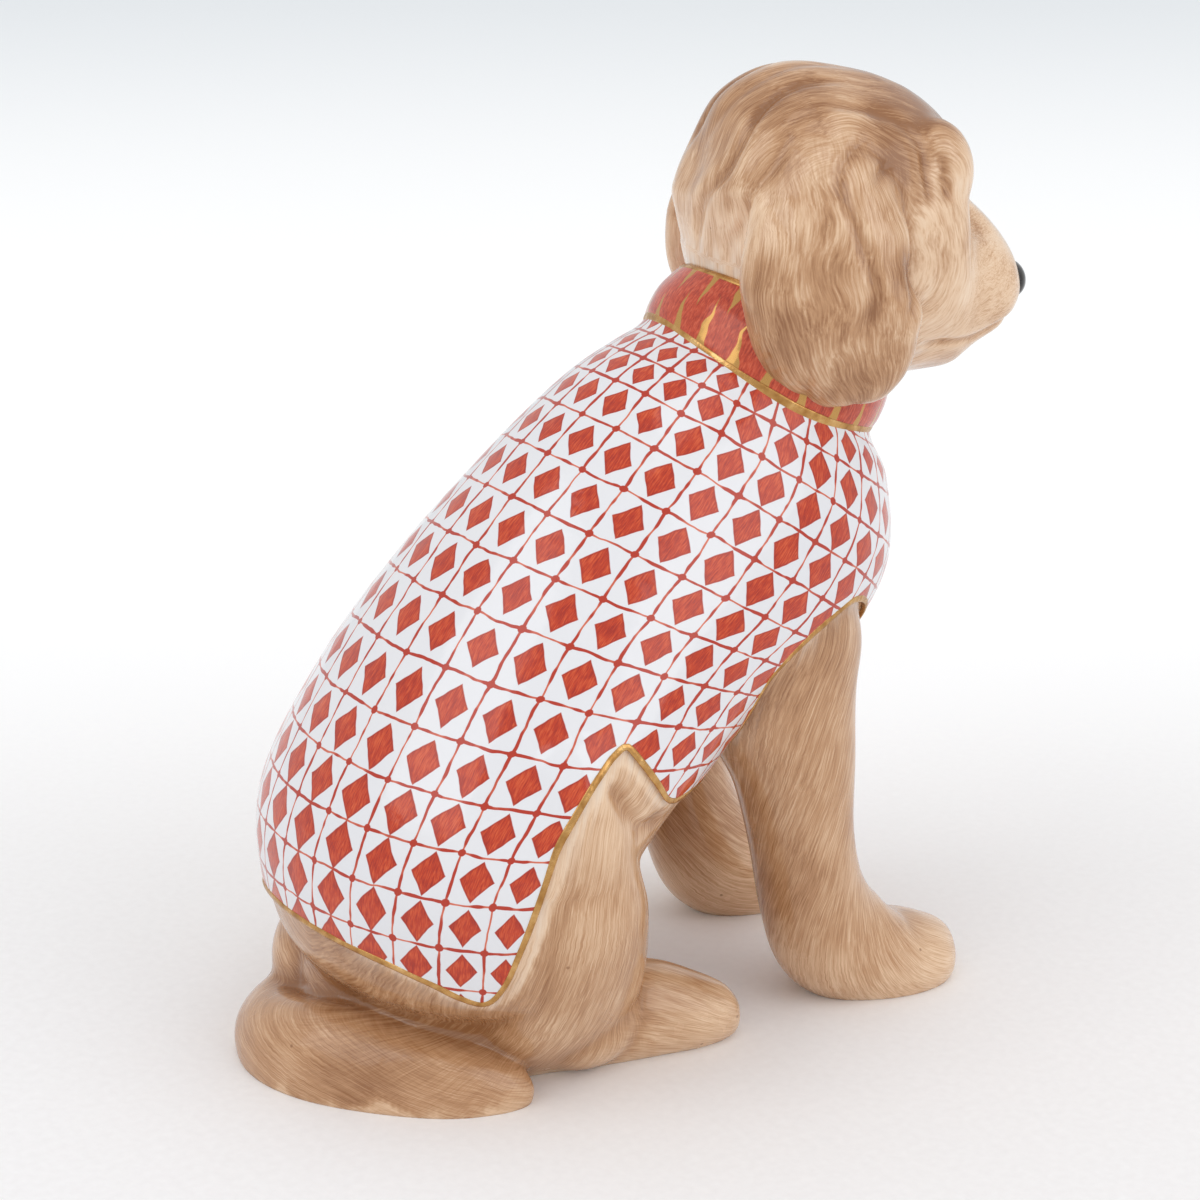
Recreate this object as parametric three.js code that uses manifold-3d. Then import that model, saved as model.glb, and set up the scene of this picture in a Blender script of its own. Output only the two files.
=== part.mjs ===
// A seated puppy in glazed porcelain, dressed in a coat with a rolled collar.
// Lengths are millimetres and angles degrees. The puppy looks along -Y, its left side is +X,
// and it sits on the plane Z = 0. Each piece is one casting, luted to its neighbours.
import * as THREE from "three";
import { mergeVertices } from "three/addons/utils/BufferGeometryUtils.js";
import Module from "manifold-3d";

const wasm = await Module();
wasm.setup();

// Castings
const wall = 3; // thickness of the hollow pieces
const seam = 0.3; // room between two pieces
const ventDiameter = 6; // firing vent through the seat
const ventY = 21; // place of the vent behind the middle of the figure

// Body and neck
const bodyWidth = 48;
const bodyLength = 72; // from the rump to the chest
const bodyHeight = 74; // from the ground to the back of the neck
const neckDiameter = 26.2;
const neckY = -0.235 * bodyLength;
const neckZ = 0.909 * bodyHeight;
const neckTilt = 32.5; // how far the neck leans forward from upright

// Rolled collar
const collarHeight = 7.4;
const collarBulge = 0.7; // how far the roll stands out past the neck
const collarTaper = 1.2; // how much narrower its upper edge is, on the radius
const collarBore = 18;

// Head, measured from the middle of the skull
const headWidth = 28.4;
const headRise = 10.3; // middle of the skull above the collar, along the neck
const headBack = 2.3; // and behind the neck's middle line
const headTurn = 20; // towards the puppy's right
const browWidth = 8;
const browHeight = 10.4;
const browSpacing = 11.2;

// Ears
const earWidth = 19.6;
const earThickness = 8;
const earSpread = 32.4; // between the middles of the two ears
const earTop = 12; // how far the ears start above the middle of the skull
const earDrop = 15.4; // and how far their tips hang below it
const earLean = 15; // how far their rear edges turn in towards the nape

// Forelegs and paws
const forelegSpread = 28.8;
const forelegHeight = 47; // up to where the shoulder ends inside the coat
const forelegWidth = 12;
const forelegDepth = 11.4;
const forepawWidth = 14.6;
const forepawHeight = 8.6;
const forepawReach = 33.6; // how far the toes lie in front of the middle of the figure
const leftPawStep = 1.6; // the left paw stands this much further forward
const leftPawInset = 1.2; // and this much nearer the middle

// Haunches and hind feet
const haunchSpread = 36.6;
const haunchHeight = 42;
const haunchThickness = 14.4;
const haunchDepth = 19.6; // front to back
const haunchPlace = 19.5; // middle of the thigh behind the middle of the figure
const flankInside = 8; // the haunch's casting starts this far from the middle of the figure
const flankRear = 29; // and ends here, in front of the rump
const hindFootWidth = 10.6;
const hindFootHeight = 9;
const hindFootLength = 21.7;
const heelInset = 1.5; // how far the heel lies in front of the middle of the thigh

// Tail, curled round the seat
const tailWidth = 11.2;
const tailHeight = 9.6;
const tailReach = 17; // how far the tip lies to the right of the middle of the figure

// Fineness of the surfaces
const bodySides = 28;
const limbSides = 16;
const spanSteps = 2; // rings from one row of an outline to the next
const farAway = 120; // size of the blocks that trim the pieces

// The outlines of the body are drawn for a body 72 long and 74 high, and those of the head for a
// head 28.4 wide. They stretch with the sizes above.
const lengthen = bodyLength / 72;
const heighten = bodyHeight / 74;
const enlarge = headWidth / 28.4;

// Cross-sections of the body from the seat to the neck. Each row is the back line's y and z, the
// belly line's y and z, and the half width as a share of the body's.
const bodyRows = [
  [29, -1, 16, -1, 0.38],
  [34.4, 5, 12, 3, 0.61],
  [36, 9.4, 10.4, 7.3, 0.66],
  [40, 14.6, 8.5, 12, 0.89],
  [40.8, 27, 5.5, 23.5, 1],
  [34.1, 40, -5, 32, 0.99],
  [24.3, 52.5, -13.5, 36, 0.9],
  [13.3, 63, -24, 38.5, 0.82],
  [4, 70, -30.2, 45, 0.73],
  [-2.2, 73, -30.6, 54.5, 0.6],
];

// The head in the same way, from the nape to the nose, round the middle of the skull. The last
// number is the half width as a share of the head's.
const headRows = [
  [15.3, 4, 15.3, -2, 0.35],
  [12.6, 10.4, 13.3, -8, 0.69],
  [8.6, 14.8, 9, -13, 0.87],
  [3, 17, 3, -16.5, 0.98],
  [-4, 17, -3, -17.2, 1],
  [-10.8, 15, -8, -17.2, 0.89],
  [-14.4, 10.8, -11.8, -17, 0.79],
  [-15.2, 6.2, -14.6, -16.8, 0.69],
  [-16.4, 3, -16, -15.8, 0.61],
  [-19.8, -0.7, -17.4, -14.6, 0.53],
  [-21.8, -3.7, -19.8, -13.2, 0.44],
  [-22.9, -6.6, -21.8, -11, 0.28],
];

// The thick fur on each side of the nape: an egg's middle, and its reach along X, Y and Z
const napeMiddle = [8.5, 7, -1];
const napeReach = [6.5, 7.2, 8.5];
const browFront = 12.2; // the brows lie this far in front of the middle of the skull
const browRise = 7.6; // and this far above it

// The hem of the coat seen from the side, as y and z: under the belly, up over the haunch and
// down again, then across the rump.
const hemLine = [
  [-farAway, -20],
  [-farAway, 30],
  [-8, 30],
  [0, 31.2],
  [6, 32],
  [9.8, 32.2],
  [11.6, 33],
  [14.4, 37],
  [16.3, 39.9],
  [18.8, 38.3],
  [21.6, 35.9],
  [24.6, 31.7],
  [27, 26.4],
  [28.9, 20.5],
  [30.8, 14.2],
  [33.6, 14.6],
  [36.5, 16.4],
  [42, 18.8],
  [farAway, 24],
  [farAway, -20],
];

// The armhole of the coat seen from the side
const armholeLine = [
  [4.6, -20],
  [4.6, 32],
  [2.9, 34.1],
  [-2.8, 40.1],
  [-9.9, 44.6],
  [-18, 46.5],
  [-25, 45.5],
  [-farAway, 42],
  [-farAway, -20],
];

const stretched = (line) => line.map(([y, z]) => [y * lengthen, z * heighten]);
const radians = THREE.MathUtils.degToRad;
const vector = (x, y, z) => new THREE.Vector3(x, y, z);

// The neck's own axes: along it, and square to it towards the back
const alongNeck = vector(0, -Math.sin(radians(neckTilt)), Math.cos(radians(neckTilt)));
const behindNeck = vector(0, Math.cos(radians(neckTilt)), Math.sin(radians(neckTilt)));

function onNeck(along, behind) {
  return vector(0, neckY, neckZ).addScaledVector(alongNeck, along).addScaledVector(behindNeck, behind);
}

// A closed three.js geometry as a solid
function solidOf(geometry) {
  const bare = geometry.clone();
  bare.deleteAttribute("normal");
  bare.deleteAttribute("uv");
  const merged = mergeVertices(bare, 1e-4);
  return new wasm.Manifold(
    new wasm.Mesh({
      numProp: 3,
      vertProperties: new Float32Array(merged.attributes.position.array),
      triVerts: new Uint32Array(merged.index.array),
    }),
  );
}

// A solid as a three.js geometry
function geometryOf(solid) {
  const mesh = solid.getMesh();
  const geometry = new THREE.BufferGeometry();
  const points = new Float32Array(mesh.numVert * 3);
  for (let i = 0; i < mesh.numVert; i += 1) {
    points.set(mesh.vertProperties.subarray(i * mesh.numProp, i * mesh.numProp + 3), i * 3);
  }
  geometry.setAttribute("position", new THREE.BufferAttribute(points, 3));
  geometry.setIndex(new THREE.BufferAttribute(mesh.triVerts, 1));
  geometry.computeVertexNormals();
  return geometry;
}

// Rows of numbers made smooth: a Catmull-Rom curve through every column
function smoothRows(rows, steps = spanSteps) {
  const before = rows[0].map((value, c) => 2 * value - rows[1][c]);
  const after = rows.at(-1).map((value, c) => 2 * value - rows.at(-2)[c]);
  const all = [before, ...rows, after];
  const smooth = [];
  for (let i = 1; i < all.length - 2; i += 1) {
    for (let k = 0; k < steps; k += 1) {
      const t = k / steps;
      smooth.push(
        all[i].map((p1, c) => {
          const p0 = all[i - 1][c];
          const p2 = all[i + 1][c];
          const p3 = all[i + 2][c];
          const bend = (2 * p0 - 5 * p1 + 4 * p2 - p3) * t + (3 * p1 - p0 - 3 * p2 + p3) * t * t;
          return p1 + 0.5 * t * (p2 - p0 + bend);
        }),
      );
    }
  }
  smooth.push(rows.at(-1));
  return smooth;
}

// A closed skin over rings that run anticlockwise about the way they travel
function loft(rings) {
  const sides = rings[0].length;
  const middle = (ring) =>
    ring.reduce((sum, p) => sum.add(p), vector(0, 0, 0)).divideScalar(sides);
  const points = [...rings.flat(), middle(rings[0]), middle(rings.at(-1))];
  const first = points.length - 2;
  const last = points.length - 1;
  const lastRing = (rings.length - 1) * sides;
  const index = [];
  for (let s = 0; s < sides; s += 1) {
    const next = (s + 1) % sides;
    for (let r = 0; r < lastRing; r += sides) {
      index.push(r + s, r + next, r + sides + next);
      index.push(r + s, r + sides + next, r + sides + s);
    }
    index.push(first, next, s);
    index.push(last, lastRing + s, lastRing + next);
  }
  const geometry = new THREE.BufferGeometry().setFromPoints(points);
  geometry.setIndex(index);
  return solidOf(geometry);
}

// Rings between ring makers, each a middle point and three half axes: side, up and down
function ringsFrom(sections, grow, sides) {
  const travel = (a, b) => b.middle.clone().sub(a.middle).normalize();
  const moved = (section, way, distance) => ({
    ...section,
    middle: section.middle.clone().addScaledVector(way, distance),
  });
  const ends = Math.abs(grow);
  const start = moved(sections[0], travel(sections[1], sections[0]), ends);
  const finish = moved(sections.at(-1), travel(sections.at(-2), sections.at(-1)), ends);
  const all = grow === 0 ? sections : [start, ...sections, finish];
  const grown = (axis) => axis.clone().setLength(Math.max(axis.length() + grow, 0.2));
  return all.map(({ middle, side, up, down }) => {
    const axes = { side: grown(side), up: grown(up), down: grown(down) };
    const ring = [];
    for (let s = 0; s < sides; s += 1) {
      const angle = (2 * Math.PI * s) / sides;
      const rise = Math.sin(angle);
      const point = middle.clone().addScaledVector(axes.side, Math.cos(angle));
      point.addScaledVector(rise > 0 ? axes.up : axes.down, Math.abs(rise));
      ring.push(point);
    }
    return ring;
  });
}

// A form that is alike on both sides of the middle plane, from rows of its back line's y and z,
// its belly line's y and z, and its half width
function trunkForm(rows, grow = 0, sides = bodySides) {
  const sections = smoothRows(rows).map(([backY, backZ, bellyY, bellyZ, half]) => {
    const back = vector(0, backY, backZ);
    const belly = vector(0, bellyY, bellyZ);
    const middle = back.clone().add(belly).multiplyScalar(0.5);
    return {
      middle,
      side: vector(half, 0, 0),
      up: back.sub(middle),
      down: belly.sub(middle),
    };
  });
  return loft(ringsFrom(sections, grow, sides));
}

// A limb along a bent middle line, from rows of x, y, z, half width along `sideways` and half
// width square to it
function limbForm(rows, grow = 0, sideways = vector(1, 0, 0)) {
  const smooth = smoothRows(rows);
  const middles = smooth.map(([x, y, z]) => vector(x, y, z));
  const sections = smooth.map((row, i) => {
    const from = middles[Math.max(i - 1, 0)];
    const to = middles[Math.min(i + 1, middles.length - 1)];
    const travel = to.clone().sub(from).normalize();
    const side = sideways.clone().addScaledVector(travel, -sideways.dot(travel)).normalize();
    const up = travel.clone().cross(side);
    return {
      middle: middles[i],
      side: side.multiplyScalar(row[3]),
      up: up.clone().multiplyScalar(row[4]),
      down: up.clone().multiplyScalar(-row[4]),
    };
  });
  return loft(ringsFrom(sections, grow, limbSides));
}

// A block right across the figure, from its outline seen from the side
function sideBlock(line) {
  const shape = new THREE.Shape(line.map(([y, z]) => new THREE.Vector2(y, z)));
  const geometry = new THREE.ExtrudeGeometry(shape, { depth: 2 * farAway, bevelEnabled: false });
  geometry.translate(0, 0, -farAway);
  const turn = new THREE.Matrix4().makeBasis(vector(0, 1, 0), vector(0, 0, 1), vector(1, 0, 0));
  return solidOf(geometry.applyMatrix4(turn));
}

// An outline moved outwards by a distance, corner by corner
function offsetLine(line, distance) {
  const points = line.map(([y, z]) => new THREE.Vector2(y, z));
  const turnsLeft = THREE.ShapeUtils.area(points) > 0 ? 1 : -1;
  return points.map((point, i) => {
    const from = points.at(i - 1);
    const to = points[(i + 1) % points.length];
    const a = point.clone().sub(from).normalize();
    const b = to.clone().sub(point).normalize();
    const corner = new THREE.Vector2(a.y + b.y, -a.x - b.x).normalize();
    const stretch = distance / Math.max(corner.dot(new THREE.Vector2(a.y, -a.x)), 0.5);
    return point.addScaledVector(corner, stretch * turnsLeft).toArray();
  });
}

// The flank, which is cast with the haunch
function flankBlock(side, grow) {
  const geometry = new THREE.BoxGeometry(farAway, 2 * farAway, 2 * farAway);
  const inside = flankInside - grow + farAway / 2;
  geometry.translate(side * inside, flankRear + grow - farAway, 0);
  return solidOf(geometry);
}

function mirrored(rows) {
  return rows.map(([x, ...rest]) => [-x, ...rest]);
}

function rod(diameter, from, to) {
  const length = from.distanceTo(to);
  const geometry = new THREE.CylinderGeometry(diameter / 2, diameter / 2, length, limbSides);
  const turn = new THREE.Quaternion().setFromUnitVectors(
    vector(0, 1, 0),
    to.clone().sub(from).normalize(),
  );
  geometry.applyQuaternion(turn);
  const middle = from.clone().add(to).multiplyScalar(0.5);
  geometry.translate(middle.x, middle.y, middle.z);
  return solidOf(geometry);
}

const join = (...solids) => solids.reduce((whole, solid) => whole.add(solid));
const cut = (solid, ...cutters) => cutters.reduce((rest, cutter) => rest.subtract(cutter), solid);

const ground = sideBlock([
  [-farAway, -farAway],
  [farAway, -farAway],
  [farAway, 0],
  [-farAway, 0],
]);
const floorBelow = (height) => ground.translate([0, 0, height]);

// Body: the outer form, and the hollow inside it, which is open at the neck
function bodyForm(grow) {
  const back = onNeck(0, neckDiameter / 2);
  const belly = onNeck(0, -neckDiameter / 2);
  const rows = bodyRows.map(([backY, backZ, bellyY, bellyZ, half]) => [
    ...stretched([[backY, backZ], [bellyY, bellyZ]]).flat(),
    (half * bodyWidth) / 2,
  ]);
  rows.push([back.y, back.z, belly.y, belly.z, neckDiameter / 2]);
  return trunkForm(rows, grow);
}

// Collar: a roll round the neck, from its lower edge to its upper edge
function collarForm(grow) {
  const profile = [
    [0, 0],
    [0.25, collarBulge],
    [0.55, collarBulge * 0.7],
    [0.85, -collarTaper * 0.3],
    [1, -collarTaper],
  ];
  const rows = profile.map(([share, out]) => {
    const height = seam + share * (collarHeight - seam);
    const radius = neckDiameter / 2 + out;
    const back = onNeck(height, radius);
    const belly = onNeck(height, -radius);
    return [back.y, back.z, belly.y, belly.z, radius];
  });
  return trunkForm(rows, grow);
}

const skull = onNeck(collarHeight + headRise, headBack);

// All that lies below the collar's upper edge
const belowCollarTop = sideBlock(
  [
    [collarHeight + seam, farAway / 2],
    [collarHeight + seam, -farAway / 2],
    [-farAway / 2, -farAway / 2],
    [-farAway / 2, farAway / 2],
  ].map(([along, behind]) => {
    const corner = onNeck(along, behind);
    return [corner.y, corner.z];
  }),
);

// From the head's own axes to the figure's
function placedOnNeck(solid) {
  return solid.rotate([0, 0, -headTurn]).translate(skull.toArray());
}

// An egg on each side of the head, from its middle and its reach along X, Y and Z
function eggPair([x, y, z], reach, grow) {
  return [-1, 1].map((side) => {
    const geometry = new THREE.SphereGeometry(1, 16, 10);
    geometry.scale(...reach.map((length) => length + grow));
    geometry.translate(side * x, y, z);
    return solidOf(geometry);
  });
}

// The skull with its brows and the thick fur at the nape, set on the collar's upper edge
function headForm(grow) {
  const enlarged = (lengths) => lengths.map((length) => length * enlarge);
  const rows = headRows.map((row) => [...enlarged(row.slice(0, 4)), (row[4] * headWidth) / 2]);
  const browMiddle = [browSpacing / 2, ...enlarged([-browFront, browRise])];
  const browReach = [browWidth / 2, browWidth * 0.45, browHeight / 2];
  const brows = eggPair(browMiddle, browReach, grow);
  const napes = eggPair(enlarged(napeMiddle), enlarged(napeReach), grow);
  return cut(placedOnNeck(join(trunkForm(rows, grow), ...brows, ...napes)), belowCollarTop);
}

function headHollow() {
  const geometry = new THREE.SphereGeometry(1, 20, 14);
  const reach = headWidth / 2 - wall;
  geometry.scale(reach, reach * 1.1, reach * 1.1);
  return placedOnNeck(solidOf(geometry));
}

function earForm(side) {
  const middle = earSpread / 2;
  const top = earTop * enlarge;
  const rows = [
    [middle * 0.494, 3, top, 0.25, 0.51],
    [middle * 0.68, 3.6, top * 0.67, 0.375, 0.816],
    [middle * 0.864, 4, top * 0.17, 0.475, 0.98],
    [middle * 0.963, 3.8, -earDrop * 0.22, 0.5, 1],
    [middle, 3, -earDrop * 0.545, 0.5, 0.94],
    [middle * 0.988, 1.6, -earDrop * 0.805, 0.45, 0.775],
    [middle * 0.963, 0.8, -earDrop, 0.3, 0.45],
  ].map(([x, y, z, thick, wide]) => [
    side * x,
    y * enlarge,
    z,
    thick * earThickness,
    (wide * earWidth) / 2,
  ]);
  const lean = radians(earLean);
  return placedOnNeck(limbForm(rows, 0, vector(side * Math.cos(lean), Math.sin(lean), 0)));
}

function forelegForm(side, grow) {
  const middle = forelegSpread / 2;
  const width = forelegWidth / 2;
  const depth = forelegDepth / 2;
  const paw = forepawWidth / 2;
  const elbow = -13 * lengthen;
  const heel = elbow * 1.42;
  const step = forepawReach + heel;
  const high = forelegHeight;
  const low = forepawHeight;
  const rows = [
    [middle * 0.8, elbow * 0.69, high, width * 0.83, depth * 1.4],
    [middle * 0.87, elbow * 0.77, high * 0.894, width * 1.08, depth * 1.93],
    [middle * 0.944, elbow * 0.8, high * 0.766, width * 1.12, depth * 1.63],
    [middle, elbow * 0.9, high * 0.617, width * 1.07, depth * 1.25],
    [middle, elbow, high * 0.426, width, depth],
    [middle * 0.95, elbow * 1.18, high * 0.255, width * 0.98, depth * 1.05],
    [middle * 0.94, elbow * 1.42, high * 0.132, paw * 0.92, depth * 1.18],
    [middle * 0.965, heel - step * 0.365, low * 0.31, paw, low * 0.69],
    [middle * 0.986, heel - step * 0.695, low * 0.26, paw * 0.93, low * 0.62],
    [middle * 0.986, heel - step * 0.914, low * 0.23, paw * 0.575, low * 0.49],
    [middle * 0.986, heel - step, low * 0.21, paw * 0.22, low * 0.21],
  ];
  const leftRows = rows.map(([x, y, z, ...reach]) => {
    const down = Math.min((high - z) / (0.55 * high), 1);
    return [x - leftPawInset * down, y - leftPawStep * down, z, ...reach];
  });
  return limbForm(side > 0 ? leftRows : mirrored(rows), grow);
}

function haunchForm(side, grow) {
  const middle = haunchSpread / 2;
  const thick = haunchThickness / 2;
  const deep = haunchDepth / 2;
  const place = haunchPlace;
  const high = haunchHeight;
  const rows = [
    [middle * 0.82, place * 0.975, high, thick * 0.42, deep * 0.41],
    [middle * 0.93, place * 0.95, high * 0.905, thick * 0.76, deep * 0.765],
    [middle, place, high * 0.738, thick * 0.97, deep * 0.83],
    [middle * 0.99, place, high * 0.476, thick, deep],
    [middle * 0.79, place * 0.94, high * 0.238, thick * 0.86, deep * 0.96],
    [middle * 0.54, place * 0.91, high * 0.071, thick * 0.6, deep * 0.85],
    [middle * 0.45, place * 0.91, -high * 0.024, thick * 0.42, deep * 0.77],
  ];
  return limbForm(side > 0 ? rows : mirrored(rows), grow);
}

function hindFootForm(side, grow) {
  const middle = haunchSpread / 2;
  const wide = hindFootWidth / 2;
  const rise = hindFootHeight * 0.58;
  const heel = haunchPlace - heelInset;
  const long = hindFootLength;
  const rows = [
    [middle * 0.525, heel, rise * 0.69, wide * 0.79, rise * 0.92],
    [middle * 0.596, heel - long * 0.276, rise * 0.73, wide * 0.94, rise],
    [middle * 0.683, heel - long * 0.535, rise * 0.69, wide, rise],
    [middle * 0.77, heel - long * 0.765, rise * 0.58, wide * 0.94, rise * 0.88],
    [middle * 0.82, heel - long * 0.93, rise * 0.46, wide * 0.7, rise * 0.65],
    [middle * 0.836, heel - long, rise * 0.4, wide * 0.28, rise * 0.31],
  ];
  return limbForm(side > 0 ? rows : mirrored(rows), grow);
}

function tailForm() {
  const low = tailHeight / 6;
  const rise = tailHeight - low;
  const wide = tailWidth / 2;
  const reach = tailReach;
  const behind = 39.9 * lengthen;
  const rows = [
    [reach * 0.53, behind * 0.652, low * 2.5, rise * 0.45, wide * 0.71],
    [reach * 0.706, behind * 0.827, low * 1.5, rise * 0.625, wide * 0.86],
    [reach * 0.576, behind * 0.95, low * 1.06, rise * 0.7, wide * 0.95],
    [reach * 0.27, behind, low * 0.94, rise * 0.85, wide * 0.98],
    [-reach * 0.06, behind * 0.972, low, rise * 0.975, wide],
    [-reach * 0.39, behind * 0.882, low, rise, wide],
    [-reach * 0.694, behind * 0.774, low * 0.94, rise * 0.925, wide * 0.93],
    [-reach * 0.882, behind * 0.677, low * 0.875, rise * 0.725, wide * 0.75],
    [-reach * 0.965, behind * 0.627, low * 0.81, rise * 0.475, wide * 0.45],
    [-reach, behind * 0.604, low * 0.75, rise * 0.19, wide * 0.2],
  ];
  return limbForm(rows, 0, vector(0, 0, 1));
}

const body = bodyForm(0);
const bodyGrown = bodyForm(seam);
const hollow = cut(bodyForm(-wall), floorBelow(wall));
const sides = { left: 1, right: -1 };
const both = (make) => Object.fromEntries(Object.keys(sides).map((key) => [key, make(sides[key])]));

const hem = sideBlock(stretched(hemLine));
const hemGrown = sideBlock(offsetLine(stretched(hemLine), seam));
const armhole = sideBlock(stretched(armholeLine));
const armholeGrown = sideBlock(offsetLine(stretched(armholeLine), seam));

const haunchWhole = both((side) => haunchForm(side, 0));
const haunchGrown = both((side) => haunchForm(side, seam));
const forelegWhole = both((side) => forelegForm(side, 0));
const forelegGrown = both((side) => forelegForm(side, seam));
const hindFootGrown = both((side) => hindFootForm(side, seam));
const collarGrown = collarForm(seam);
const headGrown = headForm(seam);

// The coat's casting takes in the tops of all four legs, and ends at the hem and the armholes
function coatPiece() {
  const covered = join(body, ...Object.values(haunchWhole), ...Object.values(forelegWhole));
  const sleeves = join(...Object.values(forelegGrown)).intersect(armholeGrown);
  return cut(covered, hemGrown, sleeves, hollow, floorBelow(0));
}

function rumpPiece() {
  const vent = rod(ventDiameter, vector(0, ventY, -1), vector(0, ventY, wall + 1));
  const flanks = Object.values(both((side) => flankBlock(side, seam)));
  const below = body.intersect(hem);
  return cut(below, hollow, vent, ...flanks, ...Object.values(haunchGrown), floorBelow(0));
}

function haunchPiece(key) {
  const flank = body.intersect(flankBlock(sides[key], 0));
  return cut(join(haunchWhole[key], flank).intersect(hem), hollow, floorBelow(0));
}

function forelegPiece(key) {
  return cut(forelegWhole[key].intersect(armhole), hollow, floorBelow(0));
}

function hindFootPiece(key) {
  const foot = hindFootForm(sides[key], 0);
  return cut(foot, haunchGrown[key], bodyGrown, floorBelow(0));
}

function tailPiece() {
  const neighbours = [bodyGrown, ...Object.values(haunchGrown), ...Object.values(hindFootGrown)];
  return cut(tailForm(), ...neighbours, floorBelow(0));
}

function collarPiece() {
  return cut(collarForm(0), rod(collarBore, onNeck(-1, 0), onNeck(collarHeight + 1, 0)));
}

function headPiece() {
  const throat = rod(collarBore, onNeck(collarHeight - 1, 0), skull);
  return cut(headForm(0), headHollow(), throat, collarGrown);
}

function earPiece(key) {
  return cut(earForm(sides[key]), headGrown, collarGrown, bodyGrown);
}

// Glazed finishes
const glazed = (colour) =>
  new THREE.MeshStandardMaterial({ color: colour, roughness: 0.15, metalness: 0 });
const coatFinish = glazed(0xefeff0);
const furFinish = glazed(0xb9916a);
const collarFinish = glazed(0xc35032);

const pieces = [
  ["coat_body", coatPiece(), coatFinish],
  ["rump", rumpPiece(), furFinish],
  ["collar", collarPiece(), collarFinish],
  ["head", headPiece(), furFinish],
  ["tail", tailPiece(), furFinish],
];
for (const key of Object.keys(sides)) {
  pieces.push(["ear_" + key, earPiece(key), furFinish]);
  pieces.push(["foreleg_" + key, forelegPiece(key), furFinish]);
  pieces.push(["haunch_" + key, haunchPiece(key), furFinish]);
  pieces.push(["hind_foot_" + key, hindFootPiece(key), furFinish]);
}

const figurine = new THREE.Group();
for (const [name, solid, finish] of pieces) {
  const mesh = new THREE.Mesh(geometryOf(solid), finish);
  mesh.name = name;
  figurine.add(mesh);
}

// The figure's reference point is the middle of its base
const extent = new THREE.Box3().setFromObject(figurine);
const centre = extent.getCenter(vector(0, 0, 0));
figurine.position.set(-centre.x, -centre.y, -extent.min.z);

export default figurine;
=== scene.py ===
import bpy
import numpy as np
from mathutils import Matrix, Vector
from mathutils.geometry import tessellate_polygon


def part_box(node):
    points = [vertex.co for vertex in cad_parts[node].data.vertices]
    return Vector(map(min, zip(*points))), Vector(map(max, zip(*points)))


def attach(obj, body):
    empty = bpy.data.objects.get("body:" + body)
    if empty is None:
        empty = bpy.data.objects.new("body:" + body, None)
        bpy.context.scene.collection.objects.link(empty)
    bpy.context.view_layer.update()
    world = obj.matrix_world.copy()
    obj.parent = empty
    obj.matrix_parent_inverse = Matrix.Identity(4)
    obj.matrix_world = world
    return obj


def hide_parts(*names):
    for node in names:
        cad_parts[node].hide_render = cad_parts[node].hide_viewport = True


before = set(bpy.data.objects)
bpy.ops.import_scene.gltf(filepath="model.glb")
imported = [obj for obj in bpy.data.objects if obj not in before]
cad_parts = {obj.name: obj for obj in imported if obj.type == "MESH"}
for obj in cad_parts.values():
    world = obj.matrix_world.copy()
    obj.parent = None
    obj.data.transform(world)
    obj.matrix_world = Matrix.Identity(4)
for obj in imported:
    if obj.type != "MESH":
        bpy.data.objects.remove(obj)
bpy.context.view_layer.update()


# Camera

cameraView = {
    "azimuth": 235,  # degrees, from behind and to the puppy's right
    "elevation": 20,
    "target": (4.75, 0.78, 44),
    "distance": 420,
    "lens": 116.55,
    "sensor": 36,
}


def makeCamera():
    # The camera looks at the target from the given azimuth, elevation and distance
    turn = np.radians(cameraView["azimuth"])
    rise = np.radians(cameraView["elevation"])
    back = np.array([np.sin(turn) * np.cos(rise), -np.cos(turn) * np.cos(rise), np.sin(rise)])
    right = np.array([np.cos(turn), np.sin(turn), 0])
    place = (np.array(cameraView["target"]) + back * cameraView["distance"]) / 1000
    stand = np.eye(4)
    stand[:3] = np.column_stack([right, np.cross(back, right), back, place])
    data = bpy.data.cameras.new("camera")
    data.lens = cameraView["lens"]
    data.sensor_width = cameraView["sensor"]
    data.clip_start = 0.01
    data.clip_end = 20
    camera = bpy.data.objects.new("camera", data)
    camera.matrix_world = Matrix(stand.tolist())
    bpy.context.scene.collection.objects.link(camera)
    bpy.context.scene.camera = camera


makeCamera()
print("camera placed")


# Surface tools

def circleAngles(count):
    return np.linspace(0, 2 * np.pi, count, endpoint=False)


def curveThrough(rows, steps=8):
    # A Catmull-Rom curve through every column of the rows, with this many samples from row to row
    rows = np.asarray(rows, float)
    padded = np.vstack([2 * rows[0] - rows[1], rows, 2 * rows[-1] - rows[-2]])
    a, b, c, d = (padded[i : i + len(rows) - 1, None] for i in range(4))
    t = (np.arange(steps) / steps)[None, :, None]
    curve = b + 0.5 * t * (c - a + (2 * a - 5 * b + 4 * c - d) * t + (3 * b - a - 3 * c + d) * t * t)
    return np.vstack([curve.reshape(-1, rows.shape[1]), rows[-1:]])


def dots(a, b):
    return np.einsum("ij,ij->i", a, b)


def unit(vectors):
    return vectors / np.maximum(np.linalg.norm(vectors, axis=-1, keepdims=True), 1e-9)


def turned(points, degrees):
    # Turned about Z
    cosine, sine = np.cos(np.radians(degrees)), np.sin(np.radians(degrees))
    return points @ np.array([[cosine, sine, 0], [-sine, cosine, 0], [0, 0, 1]])


def outward(points, faces):
    # The signed volume under the faces is positive when they point outwards
    a, b, c = (points[faces[:, i]] for i in range(3))
    return points, faces if dots(a, np.cross(b, c)).sum() > 0 else faces[:, ::-1]


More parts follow.
